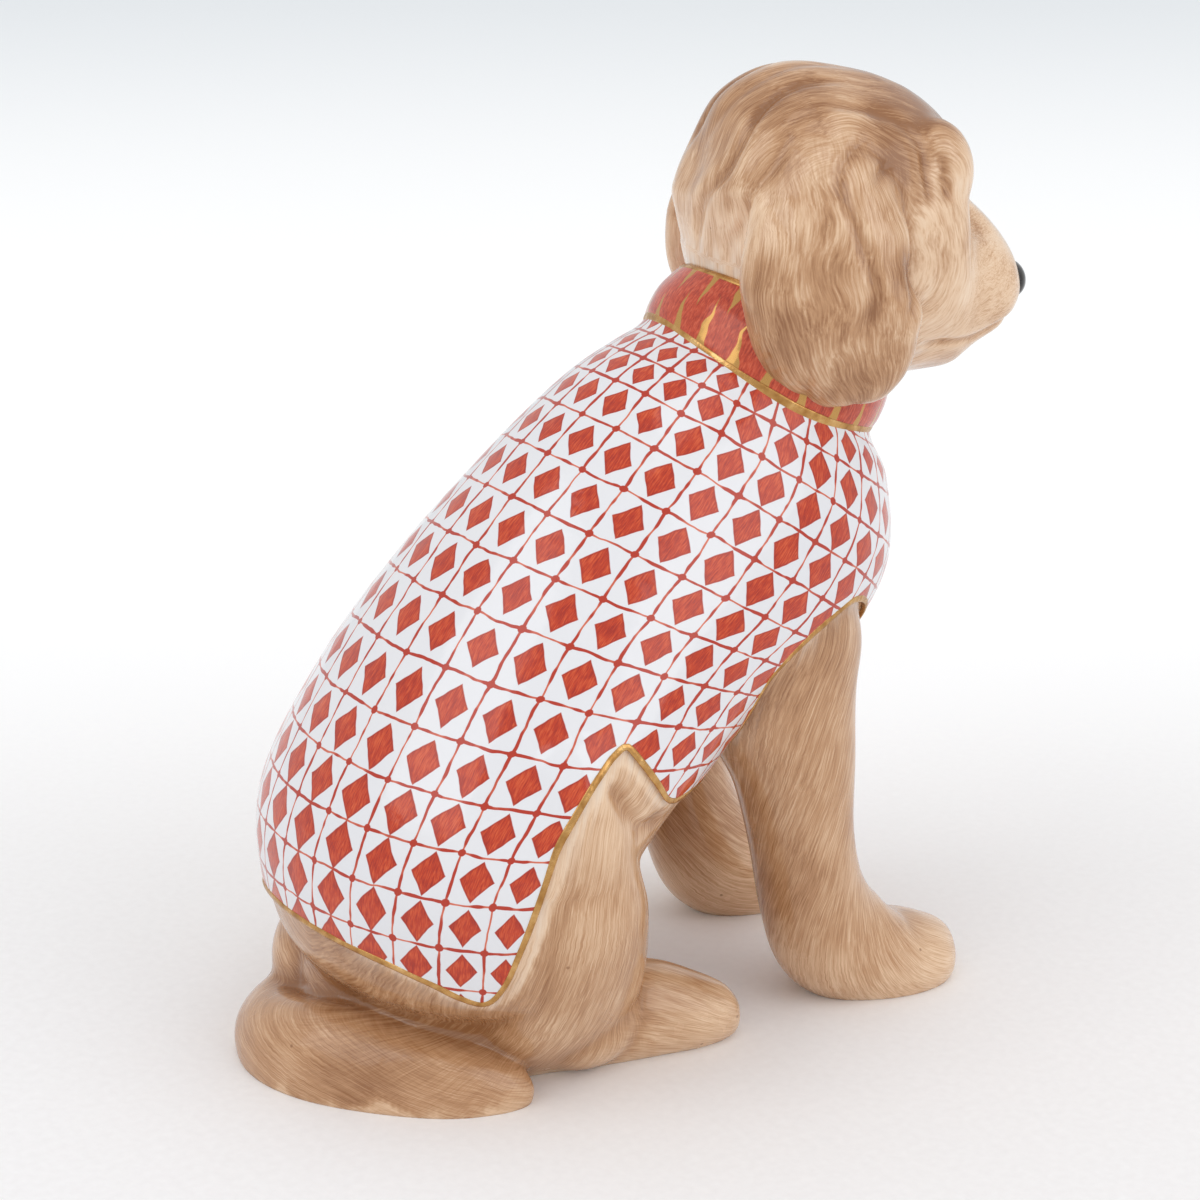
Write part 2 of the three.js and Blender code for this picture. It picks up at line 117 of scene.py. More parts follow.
def ringFaces(count, around, closed=False):
    # Triangles from each ring to the next, and from the last back to the first where they close up
    k = np.arange(count if closed else count - 1)[:, None] * around
    m = (k + around) % (count * around)
    j = np.arange(around)[None, :]
    n = (j + 1) % around
    halves = [k + j, k + n, m + n], [k + j, m + n, m + j]
    return np.concatenate([np.stack(half, -1).reshape(-1, 3) for half in halves])


def closedRings(rings):
    # Rings of points joined by triangles, with a fan to the middle of the first and the last ring
    count, around, _ = rings.shape
    points = np.vstack([rings.reshape(-1, 3), rings[0].mean(0), rings[-1].mean(0)])
    first, last = len(points) - 2, len(points) - 1
    j = np.arange(around)
    n = (j + 1) % around
    start = np.stack([np.full(around, first), n, j], 1)
    end = np.stack([np.full(around, last), (count - 1) * around + j, (count - 1) * around + n], 1)
    return outward(points, np.vstack([ringFaces(count, around), start, end]))


def skinOf(guide, around, grow=0.0):
    # Point = middle + cos(angle) side + sin(angle) up, where down takes the place of up below the middle
    angle = circleAngles(around)[None, :, None]
    side, up, down = ((guide[key] + unit(guide[key]) * grow)[:, None] for key in ("side", "up", "down"))
    rise = np.sin(angle)
    height = np.maximum(rise, 0) * up + np.maximum(-rise, 0) * down
    return closedRings(guide["middle"][:, None] + np.cos(angle) * side + height)


def withLength(guide):
    step = np.linalg.norm(np.diff(guide["middle"], axis=0), axis=1)
    guide["along"] = np.concatenate([[0], np.cumsum(step)])
    guide["travel"] = unit(np.gradient(guide["middle"], axis=0))
    return guide


def trunkGuide(rows):
    # Sections that are alike left and right: back line y and z, belly line y and z, half width
    rows = curveThrough(rows)
    zero = np.zeros(len(rows))
    back = np.column_stack([zero, rows[:, 0], rows[:, 1]])
    belly = np.column_stack([zero, rows[:, 2], rows[:, 3]])
    middle = (back + belly) / 2
    side = np.column_stack([np.maximum(rows[:, 4], 0.05), zero, zero])
    return withLength({"middle": middle, "side": side, "up": back - middle, "down": belly - middle})


def limbGuide(rows, sideways=(1, 0, 0)):
    # Sections square to a bent middle line: x, y, z, half width along `sideways`, half width square to it
    rows = curveThrough(rows)
    middle = rows[:, :3]
    travel = unit(np.gradient(middle, axis=0))
    side = np.array(sideways, float)
    side = unit(side - (travel @ side)[:, None] * travel)
    up = np.cross(travel, side)
    wide, deep = np.maximum(rows[:, 3:4], 0.05), np.maximum(rows[:, 4:5], 0.05)
    return withLength({"middle": middle, "side": side * wide, "up": up * deep, "down": -up * deep})


def mirroredGuide(guide):
    flip = np.array([-1, 1, 1])
    mirrored = {key: guide[key] * flip for key in ("middle", "side", "up", "down")}
    mirrored["side"] = -mirrored["side"]
    return withLength(mirrored)


def egg(middle, reach, around=40, rows=20):
    # Point = middle + reach * (cos(lat) cos(lon), cos(lat) sin(lon), sin(lat))
    lat = np.linspace(-np.pi / 2, np.pi / 2, rows + 2)[1:-1, None]
    lon = circleAngles(around)[None, :]
    ball = np.broadcast_arrays(np.cos(lat) * np.cos(lon), np.cos(lat) * np.sin(lon), np.sin(lat))
    return closedRings(np.array(middle) + np.stack(ball, -1) * np.array(reach))


def eggPair(middle, reach):
    return [egg((side * middle[0], *middle[1:]), reach) for side in (1, -1)]


def meshFrom(name, points, faces, made=None):
    # Whole arrays of points and faces go into a mesh at once
    mesh = bpy.data.meshes.new(name)
    mesh.vertices.add(len(points))
    mesh.vertices.foreach_set("co", np.ascontiguousarray(points, np.float32).ravel())
    mesh.loops.add(faces.size)
    mesh.loops.foreach_set("vertex_index", np.ascontiguousarray(faces, np.int32).ravel())
    mesh.polygons.add(len(faces))
    mesh.polygons.foreach_set("loop_start", np.arange(0, faces.size, faces.shape[1], dtype=np.int32))
    if made is not None:
        for _ in range(2):
            mesh.materials.append(None)
        mesh.polygons.foreach_set("material_index", np.ascontiguousarray(made, np.int32))
    mesh.update(calc_edges=True)
    mesh.validate()
    return mesh


def temporary(skin, made=None):
    obj = bpy.data.objects.new("workpiece", meshFrom("workpiece", *skin, made))
    bpy.context.scene.collection.objects.link(obj)
    return obj


def read(items, key, kind, width=1):
    values = np.empty(len(items) * width, kind)
    items.foreach_get(key, values)
    return values


def arraysOf(obj):
    # Points and triangles of an object with its modifiers applied, and which triangles a cutter made
    graph = bpy.context.evaluated_depsgraph_get()
    mesh = bpy.data.meshes.new_from_object(obj.evaluated_get(graph))
    mesh.calc_loop_triangles()
    points = read(mesh.vertices, "co", np.float32, 3).reshape(-1, 3).astype(float)
    faces = read(mesh.loop_triangles, "vertices", np.int32, 3).reshape(-1, 3)
    owner = read(mesh.loop_triangles, "polygon_index", np.int32)
    made = read(mesh.polygons, "material_index", np.int32)[owner]
    bpy.data.meshes.remove(mesh)
    return points, faces, made


def discard(*objects):
    for obj in objects:
        mesh = obj.data
        bpy.data.objects.remove(obj)
        bpy.data.meshes.remove(mesh)


def joined(skins):
    starts = np.cumsum([0] + [len(points) for points, faces in skins[:-1]])
    points = np.vstack([points for points, faces in skins])
    return points, np.vstack([faces + start for (_, faces), start in zip(skins, starts)])


def fused(skins, grain, rounds):
    # Forms that run into each other become one closed skin on a grid of `grain`, and are then relaxed
    obj = temporary(joined(skins))
    remesh = obj.modifiers.new("skin", "REMESH")
    remesh.mode = "VOXEL"
    remesh.voxel_size = grain
    relax = obj.modifiers.new("relax", "SMOOTH")
    relax.factor = 0.5
    relax.iterations = rounds
    skin = arraysOf(obj)[:2]
    discard(obj)
    return skin


def carved(skin, *steps):
    # Booleans of closed skins, each step a cutter and what it does; triangles from a cutter are marked 1
    marks = np.zeros(len(skin[1]), np.int32)
    for cutter, operation in steps:
        body = temporary(skin, marks)
        tool = temporary(cutter, np.ones(len(cutter[1]), np.int32))
        knife = body.modifiers.new("knife", "BOOLEAN")
        knife.operation = operation
        knife.solver = "MANIFOLD"
        knife.object = tool
        tool.hide_render = True
        *skin, marks = arraysOf(body)
        discard(body, tool)
    return tuple(skin), marks


def prism(outline, high=60.0, low=-60.0):
    # A block right across the figure, from its outline seen from the side as y and z
    outline = np.asarray(outline, float)
    count = len(outline)
    points = np.vstack([np.column_stack([np.full(count, x), outline]) for x in (low, high)])
    j = np.arange(count)
    n = (j + 1) % count
    walls = np.vstack([np.stack([j, n, n + count], 1), np.stack([j, n + count, j + count], 1)])
    caps = np.array(tessellate_polygon([[Vector((0, y, z)) for y, z in outline]]))
    a, b, c = (outline[caps[:, i]] for i in range(3))
    area = (b - a)[:, 0] * (c - a)[:, 1] - (b - a)[:, 1] * (c - a)[:, 0]
    caps = np.where((area > 0)[:, None], caps, caps[:, ::-1])
    y, z = outline.T
    if np.sum(y * np.roll(z, -1) - np.roll(y, -1) * z) > 0:
        caps = caps[:, ::-1]
    # The caps are turned so that every edge is used once each way
    return outward(points, np.vstack([walls, caps, caps[:, ::-1] + count]))


def vertexNormals(points, faces):
    a, b, c = (points[faces[:, i]] for i in range(3))
    normal = np.cross(b - a, c - a)
    size = len(points)
    total = [sum(np.bincount(faces[:, i], column, size) for i in range(3)) for column in normal.T]
    return unit(np.stack(total, 1))


def edgesOf(faces):
    edges = np.vstack([faces[:, [0, 1]], faces[:, [1, 2]], faces[:, [2, 0]]])
    return np.unique(np.sort(edges, 1), axis=0)


def spreadOut(values, faces, rounds):
    # The mean over each point's neighbours, taken again and again
    size = len(values)
    i, j = edgesOf(faces).T
    degree = np.maximum(np.bincount(i, minlength=size) + np.bincount(j, minlength=size), 1)
    values = values.reshape(size, -1)
    for _ in range(rounds):
        total = [np.bincount(i, column[j], size) + np.bincount(j, column[i], size) for column in values.T]
        values = 0.5 * values + 0.5 * np.stack(total, 1) / degree[:, None]
    return values


def hollowness(points, faces):
    # How far a point lies inside the mean of its neighbourhood, along the normal: positive in creases
    inward = dots(spreadOut(points, faces, 12) - points, vertexNormals(points, faces))
    return spreadOut(inward, faces, 4)[:, 0]


def softNoise(a, b, seed):
    # Values on a square lattice, blended with a smooth step between its corners
    table = np.random.default_rng(seed).uniform(-1, 1, (64, 64))
    i, j = np.floor(a).astype(int), np.floor(b).astype(int)
    u, v = a - i, b - j
    u, v = u * u * (3 - 2 * u), v * v * (3 - 2 * v)
    at = lambda p, q: table[p % 64, q % 64]
    low = at(i, j) * (1 - u) + at(i + 1, j) * u
    return low * (1 - v) + (at(i, j + 1) * (1 - u) + at(i + 1, j + 1) * u) * v


def nearestOf(targets, points, weight=1.0):
    # For each point the target whose squared distance, over its weight, is least
    found = np.empty(len(points), int)
    room = 2000000 // len(targets)
    for part in np.array_split(np.arange(len(points)), len(points) // room + 1):
        gap = points[part, None] - targets[None]
        found[part] = np.argmin(np.einsum("ijk,ijk->ij", gap, gap) / weight, axis=1)
    return found


def onGuide(points, guide):
    # Where points lie along and round a guide: distance along it, angle, and distance as a share of its reach
    weight = np.linalg.norm(guide["side"], axis=1) + np.linalg.norm(guide["up"], axis=1)
    nearest = nearestOf(guide["middle"], points, weight)
    gap = points - guide["middle"][nearest]
    side, up, travel = (guide[key][nearest] for key in ("side", "up", "travel"))
    ahead = dots(gap, travel)
    across, height = dots(gap, side) / dots(side, side), dots(gap, up) / dots(up, up)
    past = ahead / np.linalg.norm(up, axis=1)
    share = np.sqrt(across**2 + height**2 + past**2)
    return guide["along"][nearest] + ahead, np.arctan2(height, across), share


def strokeMap(points, guide, radius, slant=0.0):
    # The brush winds down the limb: the length along it, and the way round it as a point on a circle
    along, angle, share = onGuide(points, guide)
    angle = angle + slant * along
    return np.column_stack([along, np.cos(angle) * radius, np.sin(angle) * radius]), share


def ramped(values, start, width):
    # 0 up to the start, then rising to 1 over the width
    return np.clip((values - start) / width, 0, 1)


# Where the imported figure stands

neck = {"y": -16.92, "z": 67.27, "tilt": 32.5, "diameter": 26.2}
neckBase = np.array([0, neck["y"], neck["z"]])
sineTilt, cosineTilt = np.sin(np.radians(neck["tilt"])), np.cos(np.radians(neck["tilt"]))
leanForward = np.array([0, -sineTilt, cosineTilt])
behindNeck = np.array([0, cosineTilt, sineTilt])

collarRoll = {
    "height": 7.6,
    "profile": [(0, 0.1), (0.06, 0.45), (0.25, 0.7), (0.55, 0.55), (0.85, -0.25), (0.97, -0.75), (1, -1.2)],
    "thickness": 1.9,
    "dip": 1.34,  # how far the lower edge sways down and up
    "dipTurn": 22.5,
    "dipMean": 0.95,
    "dipFlare": 0.42,  # how far the edge goes out for each millimetre down
}


def roundNeck(angle, radius, level):
    # Point = neck base + level along the neck + radius (cos(angle) across + sin(angle) behind the neck)
    angle, radius, level = (values[..., None] for values in np.broadcast_arrays(angle, radius, level))
    circle = np.cos(angle) * np.array([1, 0, 0]) + np.sin(angle) * behindNeck
    return neckBase + level * leanForward + radius * circle


def collarPoints(share, out, angle):
    # The lower edge sags at two sides and rises between them, like a saddle turned with the head
    sway = np.cos(2 * (angle + np.radians(collarRoll["dipTurn"])))
    dip = (1 - share) ** 1.5 * (-collarRoll["dipMean"] - collarRoll["dip"] * sway)
    radius = neck["diameter"] / 2 + out + np.maximum(-dip, 0) * collarRoll["dipFlare"]
    return angle, radius, share * collarRoll["height"] + dip


def collarRings(steps=6, around=180):
    profile = curveThrough(collarRoll["profile"], steps)
    angle = circleAngles(around)
    rings = roundNeck(*collarPoints(profile[:, :1], profile[:, 1:], angle))
    return rings, profile[:, 0] * collarRoll["height"], angle


packedLow, packedHigh = (np.array(corner) * 1000 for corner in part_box("collar"))
drawn = collarRings()[0].reshape(-1, 3)
standOff = (packedLow[1] + packedHigh[1]) / 2 - (drawn[:, 1].min() + drawn[:, 1].max()) / 2
figureShift = np.array([0, standOff, 0])
print("figure stands", round(float(standOff), 2), "mm back of the drawing's origin")


def piece(name, skin, nodes=(), attributes=None):
    # A finished piece: its mesh in metres, its attributes, and the imported nodes it stands for
    mesh = meshFrom(name, (skin[0] + figureShift) / 1000, skin[1])
    for key, values in (attributes or {}).items():
        kind, field = ("FLOAT", "value") if values.ndim == 1 else ("FLOAT_VECTOR", "vector")
        layer = mesh.attributes.new(key, kind, "POINT")
        layer.data.foreach_set(field, np.ascontiguousarray(values, np.float32).ravel())
    mesh.shade_smooth()
    obj = bpy.data.objects.new(name, mesh)
    bpy.context.scene.collection.objects.link(obj)
    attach(obj, "root")
    if nodes:
        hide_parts(*nodes)
    return obj


# Body

body = {
    "grain": 0.5,
    "rounds": 10,
    "trunk": [
        (29, -1, 16, -1, 9.2), (34.4, 5, 12, 3, 14.6), (36, 9.4, 10.4, 7.3, 15.8), (40, 14.6, 8.5, 12, 21.4),
        (40.8, 27, 5.5, 23.5, 24), (34.1, 40, -5, 32, 23.7), (24.3, 52.5, -13.5, 36, 21.6),
        (13.3, 63, -24, 38.5, 19.7), (4, 70, -30.2, 45, 17.5), (-2.2, 73, -30.6, 54.5, 14.5),
        (-5.9, 74.4, -28, 60.3, 13.1), (-10.5, 80, -31, 67, 11.5),
    ],
    "haunch": [
        (15, 19, 42, 3, 4), (17, 18.8, 38, 5.5, 7), (18.3, 20.1, 31, 6.5, 6.9), (18.3, 20.1, 25.5, 6.7, 7.5),
        (18.1, 19.9, 20, 7, 8.7), (14.4, 18.3, 10, 6.2, 9.4), (9.9, 17.7, 3, 4.5, 8.3),
        (8.2, 17.7, -1, 3.2, 7.5),
    ],
    "hindFoot": [
        (9.9, 18, 4.2, 4.8, 5.8), (11.4, 12, 4.3, 5.5, 5.9), (12.7, 6.4, 3.9, 5.5, 5.5),
        (14.1, 1.4, 2.9, 5, 4.3), (15, -2.2, 2.2, 3.6, 3), (15.3, -3.7, 2.1, 1.5, 1.6),
    ],
    "foreleg": [
        (11.5, -9, 47, 5, 8), (12.5, -10, 42, 6.5, 11), (13.6, -10.4, 36, 6.7, 9.3),
        (14.4, -11.7, 29, 6.4, 7.1), (14.4, -13, 20, 6, 5.7), (13.7, -15.3, 12, 5.9, 6),
        (13.5, -18.5, 6.2, 6.7, 6.7), (13.9, -24, 2.7, 7.3, 5.6), (14.2, -29, 2, 6.8, 4.6),
        (14.2, -32.2, 1.8, 4.2, 3.4), (14.2, -33.3, 1.6, 1.6, 1.6),
    ],
    "leftPaw": (-1.8, -2.4),  # how far it stands in and forward of the right one's place
    "tail": [
        (9, 26, 4, 3.6, 4), (12, 33, 2.4, 4.6, 4.8), (9.8, 37.9, 1.7, 4.9, 5.3), (4.6, 39.9, 1.5, 6.2, 5.5),
        (-1, 38.8, 1.6, 7, 5.6), (-6.6, 35.2, 1.6, 6.6, 5.6), (-11.8, 30.9, 1.5, 5.6, 5),
        (-15, 27, 1.2, 3.9, 3.7), (-16.6, 24.9, 1, 2.3, 2.3), (-17.3, 23.9, 0.9, 1, 0.9),
    ],
    "tailRoot": ((4.2, 29.6, 8.6), (8.8, 8, 8.4)),  # flesh between the rump and the tail
    "leftRump": ((11, 27, 7.5), (9, 10.5, 9)),  # the tail pushes the left side of the rump out
    "heel": ((12.2, 15, 6), (6.7, 7.5, 6.4)),  # flesh between the haunch and the hind foot
    "thighFold": {"path": [(12.2, 30.6), (14.6, 30.6), (16.6, 32.8), (18, 35.6)], "half": 1.0, "depth": 0.7},
}


def planted(row):
    # The lower a ring of the left foreleg lies, the further it moves in and forward
    x, y, z, wide, deep = row
    high = body["foreleg"][0][2]
    down = min((high - z) / (0.55 * high), 1)
    return (x + body["leftPaw"][0] * down, y + body["leftPaw"][1] * down, z, wide, deep)


def bodyForms():
    forms = {"trunk": trunkGuide(body["trunk"]), "tail": limbGuide(body["tail"], (0, 0, 1))}
    for key in ("haunch", "hindFoot", "foreleg"):
        forms[key + "Left"] = limbGuide(body[key])
        forms[key + "Right"] = mirroredGuide(forms[key + "Left"])
    forms["forelegLeft"] = limbGuide([planted(row) for row in body["foreleg"]])
    return forms


def awayFrom(path, points):
    # Distance of points in a plane from a path of straight steps
    nearest = np.full(len(points), np.inf)
    for start, end in zip(np.array(path[:-1], float), np.array(path[1:], float)):
        step = end - start
        share = np.clip((points - start) @ step / (step @ step), 0, 1)
        nearest = np.minimum(nearest, np.linalg.norm(points - start - share[:, None] * step, axis=1))
    return nearest


def foldedThigh(points, faces):
    # The skin of the flank folds in where the thigh comes out from under it, on the outer sides
    fold = body["thighFold"]
    gap = awayFrom(fold["path"], points[:, 1:])
    pressed = np.exp(-((gap / fold["half"]) ** 2)) * fold["depth"] * ramped(np.abs(points[:, 0]), 13, 3)
    return points - vertexNormals(points, faces) * pressed[:, None], faces


forms = bodyForms()
flesh = [egg(*body["tailRoot"]), egg(*body["leftRump"]), *eggPair(*body["heel"])]
figure = fused([*[skinOf(guide, 64) for guide in forms.values()], *flesh], body["grain"], body["rounds"])
figure = foldedThigh(*figure)
print("body skin", len(figure[0]), "points")


# Coat

coat = {
    "thickness": 0.45,
    "under": 1.2,  # how far the fur's glaze runs on under the coat
    "belly": [
        (-90, 30), (-30, 30), (-8, 30), (0, 31.2), (6, 32), (9.8, 32.2), (11.6, 33), (12.7, 34.5), (14.4, 37),
        (16.3, 39.9),
    ],
    "flank": [
        (16.3, 39.9), (18.8, 38.3), (21.6, 35.9), (24.6, 31.7), (27, 26.4), (28.9, 20.5), (30, 16.2),
        (31.3, 13.9), (33.6, 14.6), (36.5, 16.4), (42, 18.8), (60, 24),
    ],
    "armhole": [(4.6, 32), (2.9, 34.1), (-2.8, 40.1), (-9.9, 44.6), (-18, 46.6), (-25, 45.8), (-60, 42)],
    "behindLeg": [(-6.4, -30), (-6.4, 12), (-3.4, 22), (1.8, 28.6), (4.6, 31)],
    "sleeveRoom": 1.1,
    "neckCut": 1.0,  # height along the neck
    "columns": 26,
}


def hemOutline(drop=0.0):
    # Both stretches of the hem as smooth curves that meet in a point over the thigh
    line = np.vstack([curveThrough(coat["belly"])[:-1], curveThrough(coat["flank"])])
    return np.vstack([line + [0, drop], [[90, 24 + drop], [90, -30], [-90, -30]]])


def armholeOutline(drop=0.0):
    return np.vstack([coat["behindLeg"], curveThrough(coat["armhole"]) + [0, drop], [[-60, -30]]])


def neckBlock(height):
    # Everything in front of and above a plane across the neck
    corner = neckBase + leanForward * height
    ends = [corner + behindNeck * 60, corner - behindNeck * 60]
    return prism(np.array(ends + [end + leanForward * 60 for end in ends[::-1]])[:, 1:])


ground = prism([(-90, -60), (90, -60), (90, 0), (-90, 0)])
dressed = (figure[0] + vertexNormals(*figure) * coat["thickness"], figure[1])
armhole = prism(armholeOutline())
cutters = [prism(hemOutline())]
for side in ("Left", "Right"):
    leg = skinOf(forms["foreleg" + side], 64, coat["sleeveRoom"])
    cutters.append(carved(leg, (armhole, "INTERSECT"))[0])
cutters += [neckBlock(coat["neckCut"]), ground]
coatSkin, marks = carved(dressed, *[(cutter, "DIFFERENCE") for cutter in cutters])
print("coat", len(coatSkin[0]), "points,", len(coatSkin[1]), "triangles")


def edgeLoops(faces, marks):
    # The edges between skin and cut faces, chained into closed loops of points
    edges = np.sort(np.vstack([faces[:, [0, 1]], faces[:, [1, 2]], faces[:, [2, 0]]]), 1)
    order = np.lexsort((edges[:, 1], edges[:, 0]))
    edges, mark = edges[order], np.tile(marks, 3)[order]
    seam = np.all(edges[:-1] == edges[1:], axis=1) & (mark[:-1] != mark[1:])
    neighbours = {}
    for a, b in edges[:-1][seam].tolist():
        neighbours.setdefault(a, []).append(b)
        neighbours.setdefault(b, []).append(a)
    loops, seen = [], set()
    for here in neighbours:
        loop = []
        while here is not None and here not in seen:
            seen.add(here)
            loop.append(here)
            here = next((n for n in neighbours[here] if n not in seen), None)
        if len(loop) > 20:
            loops.append(np.array(loop))
    return loops


def evenly(path, step):
    # Points at even distances along a closed path
    path = np.vstack([path, path[:1]])
    length = np.concatenate([[0], np.cumsum(np.linalg.norm(np.diff(path, axis=0), axis=1))])
    at = np.linspace(0, length[-1], max(int(length[-1] / step), 8), endpoint=False)
    return np.stack([np.interp(at, length, column) for column in path.T], 1)


def softened(path, rounds):
    for _ in range(rounds):
        path = path * 0.5 + (np.roll(path, 1, 0) + np.roll(path, -1, 0)) / 2 * 0.5
    return path


def coatCoordinates(points):
    # The ring that a point lies in, seen from the side, gives its row, and its angle round it the column
    middle, up, down, side = (forms["trunk"][key] for key in ("middle", "up", "down", "side"))
    lean = unit(up[:, 1:] - down[:, 1:])
    square = np.column_stack([-lean[:, 1], lean[:, 0]])
    square *= np.sign(dots(square, np.gradient(middle[:, 1:], axis=0)))[:, None]
    ahead = points[:, 1:] @ square.T - dots(middle[:, 1:], square)[None]
    passed = np.clip((ahead > 0).sum(1) - 1, 0, len(middle) - 2)
    every = np.arange(len(points))
    here, there = ahead[every, passed], ahead[every, passed + 1]
    place = passed + np.clip(here / np.maximum(here - there, 1e-6), 0, 1)
    ring = np.arange(len(middle))
    at = lambda values: np.stack([np.interp(place, ring, column) for column in values.T], 1)
    rise = at(up)
    wide, tall = np.interp(place, ring, side[:, 0]), np.linalg.norm(rise, axis=1)
    angle = np.arctan2(dots(points - at(middle), rise) / tall**2, points[:, 0] / wide)
    sine, cosine = np.sin(angle), np.cos(angle)
    a, b = side[:, 0], np.linalg.norm(up, axis=1)
    cell = np.pi * (3 * (a + b) - np.sqrt((3 * a + b) * (a + 3 * b))) / coat["columns"]
    step = np.linalg.norm(np.diff(middle, axis=0), axis=1)
    rows = np.concatenate([[0], np.cumsum(step / (0.5 * (cell[1:] + cell[:-1])))])
    columnWide = np.hypot(wide * sine, tall * cosine) * 2 * np.pi / coat["columns"]
    slope, slopeUp, slopeSide = (at(np.gradient(values, axis=0)) for values in (middle, up, side))
    pace = slope + sine[:, None] * slopeUp + cosine[:, None] * slopeSide
    rowTall = np.linalg.norm(pace, axis=1) / np.maximum(np.interp(place, ring, np.gradient(rows)), 1e-3)
    return {
        "coatMap": np.column_stack([cosine, sine, np.interp(place, ring, rows)]),
        "coatCell": np.column_stack([columnWide, rowTall, np.zeros(len(rowTall))]),
    }


coatPiece = piece("coat", coatSkin, ["coat_body"], coatCoordinates(coatSkin[0]))


# Gilt edges

gilding = {
    "width": 0.72,
    "rise": 0.14,
    "sunk": 0.5,  # how deep the band lies in the glaze
    "inset": 0.24,
    "step": 0.3,
    "wobble": 0.06,
    "collarRise": 0.16,
    "collar": [(0.03, 0.35, 1.15, -0.25), (0.97, -0.8, 0.9, 0.9)],  # share of height, outset, width, tilt
}


def giltBand(path, normal, width, rise, inset):
    # Path + across cos(angle) width / 2 + normal sin(angle) rise: a flat oval carried round a closed path
    travel = unit(np.roll(path, -1, 0) - np.roll(path, 1, 0))
    normal = unit(normal - dots(normal, travel)[:, None] * travel)
    across = np.cross(normal, travel)
    place = np.arange(len(path)) * gilding["step"]
    vary = softNoise(place / 4.0, place * 0, 3) * gilding["wobble"]
    angle = circleAngles(16)[None, :, None]
    half = ((width / 2) * (1 + 2 * vary))[:, None, None]
    lift = np.where(np.sin(angle) > 0, rise, gilding["sunk"])
    centre = path + across * (inset * (1 + vary))[:, None]
    rings = centre[:, None] + across[:, None] * np.cos(angle) * half + normal[:, None] * np.sin(angle) * lift
    return outward(rings.reshape(-1, 3), ringFaces(*rings.shape[:2], closed=True))


def coatSide(path, normal):
    # Which way the coat lies from its edge: a step across the edge is tried against the nearest coat points
    across = np.cross(normal, unit(np.roll(path, -1, 0) - np.roll(path, 1, 0)))[::8]
    tries = [path[::8] + across * reach for reach in (1.5, -1.5)]
    shell = coatSkin[0]
    gaps = [np.linalg.norm(shell[nearestOf(shell, points)] - points, axis=1).mean() for points in tries]
    return 1 if gaps[0] < gaps[1] else -1


coatNormals = spreadOut(vertexNormals(*dressed), dressed[1], 6)
giltPaths = []
for loop in edgeLoops(coatSkin[1], marks):
    path = evenly(softened(evenly(coatSkin[0][loop], gilding["step"]), 2), gilding["step"])
    if np.abs((path - neckBase) @ leanForward - coat["neckCut"]).max() > 0.5:
        giltPaths.append((path, unit(coatNormals[nearestOf(dressed[0], path)])))
giltSkins = [
    giltBand(path, normal, gilding["width"], gilding["rise"], coatSide(path, normal) * gilding["inset"])
    for path, normal in giltPaths
]
for share, out, width, tilt in gilding["collar"]:
    angle, radius, level = collarPoints(share, out, circleAngles(260))
    path = roundNeck(angle, radius, level + 0.12 * np.sin(angle * 3 + 1) * (share > 0.5))
    facing = unit(roundNeck(angle, 1.0, tilt) - neckBase)
    giltSkins.append(giltBand(path, facing, width, gilding["collarRise"], 0.0))
giltPiece = piece("gilt_edges", joined(giltSkins))
print("gilt edges", len(giltSkins))


# Fur below the coat

furPallor = {
    "hind": [-0.45, 0.3, 0.2, -0.5],  # rump, haunches, feet and tail: how pale their paint is, the rump and tail partly darker as painted shade
    "upThigh": 0.8,
    "paw": 0.35,
    "paintedRearShade": -0.5,
}
edgePoints = np.vstack([path for path, _ in giltPaths])


def furFacts(skin, maps, weight, pallor):
    # Up to three brush directions with their weights, the creases that take painted shade, how near the
    # coat's edge is, the pallor
    weight = spreadOut(weight, skin[1], 10)
    gap = np.linalg.norm(edgePoints[nearestOf(edgePoints, skin[0])] - skin[0], axis=1)
    return {
        **dict(zip(("strokeA", "strokeB", "strokeC"), maps)),
        "strokeWeight": weight / weight.sum(1, keepdims=True),
        "creaseShade": np.clip(hollowness(*skin) / 0.35, -1, 1),
        "nearEdge": np.exp(-gap / 0.9),
        "pallor": pallor,
    }


def bothSides(points):
    # The left-hand guide serves the right side too, mirrored
    return points * np.where(points[:, :1] < 0, [[-1, 1, 1]], [[1, 1, 1]])


def hindFacts(points, faces):
    # Strokes run down the haunches, forward along the feet, and aslant from the ridge of the tail
    folded = bothSides(points)
    haunch, haunchShare = strokeMap(folded, forms["haunchLeft"], 9, 0.03)
    foot, footShare = strokeMap(folded, forms["hindFootLeft"], 5, 0.05)
    along, _, tailShare = onGuide(points, forms["tail"])
    tail = np.column_stack([along, points[:, 2] * 1.1 + along * 0.45, np.zeros(len(points))])
    shares = onGuide(points, forms["trunk"])[2], haunchShare, footShare, tailShare
    weight = np.column_stack([np.exp(-7 * share) for share in shares])
    weight = spreadOut(weight / weight.sum(1, keepdims=True), faces, 10)
    upThigh = weight[:, 1] * ramped(points[:, 2], 20, 12) * furPallor["upThigh"]
    pallor = weight @ np.array(furPallor["hind"]) + upThigh
    weight = np.column_stack([weight[:, 0] + weight[:, 1], weight[:, 2], weight[:, 3]])
    return furFacts((points, faces), (haunch, foot, tail), weight, pallor)


def ventBore(middle=(0, 21), radius=3, low=-1, high=9):
    angle = circleAngles(32)
    x, y = middle[0] + radius * np.cos(angle), middle[1] + radius * np.sin(angle)
    return closedRings(np.stack([np.column_stack([x, y, np.full(32, z)]) for z in (low, high)]))


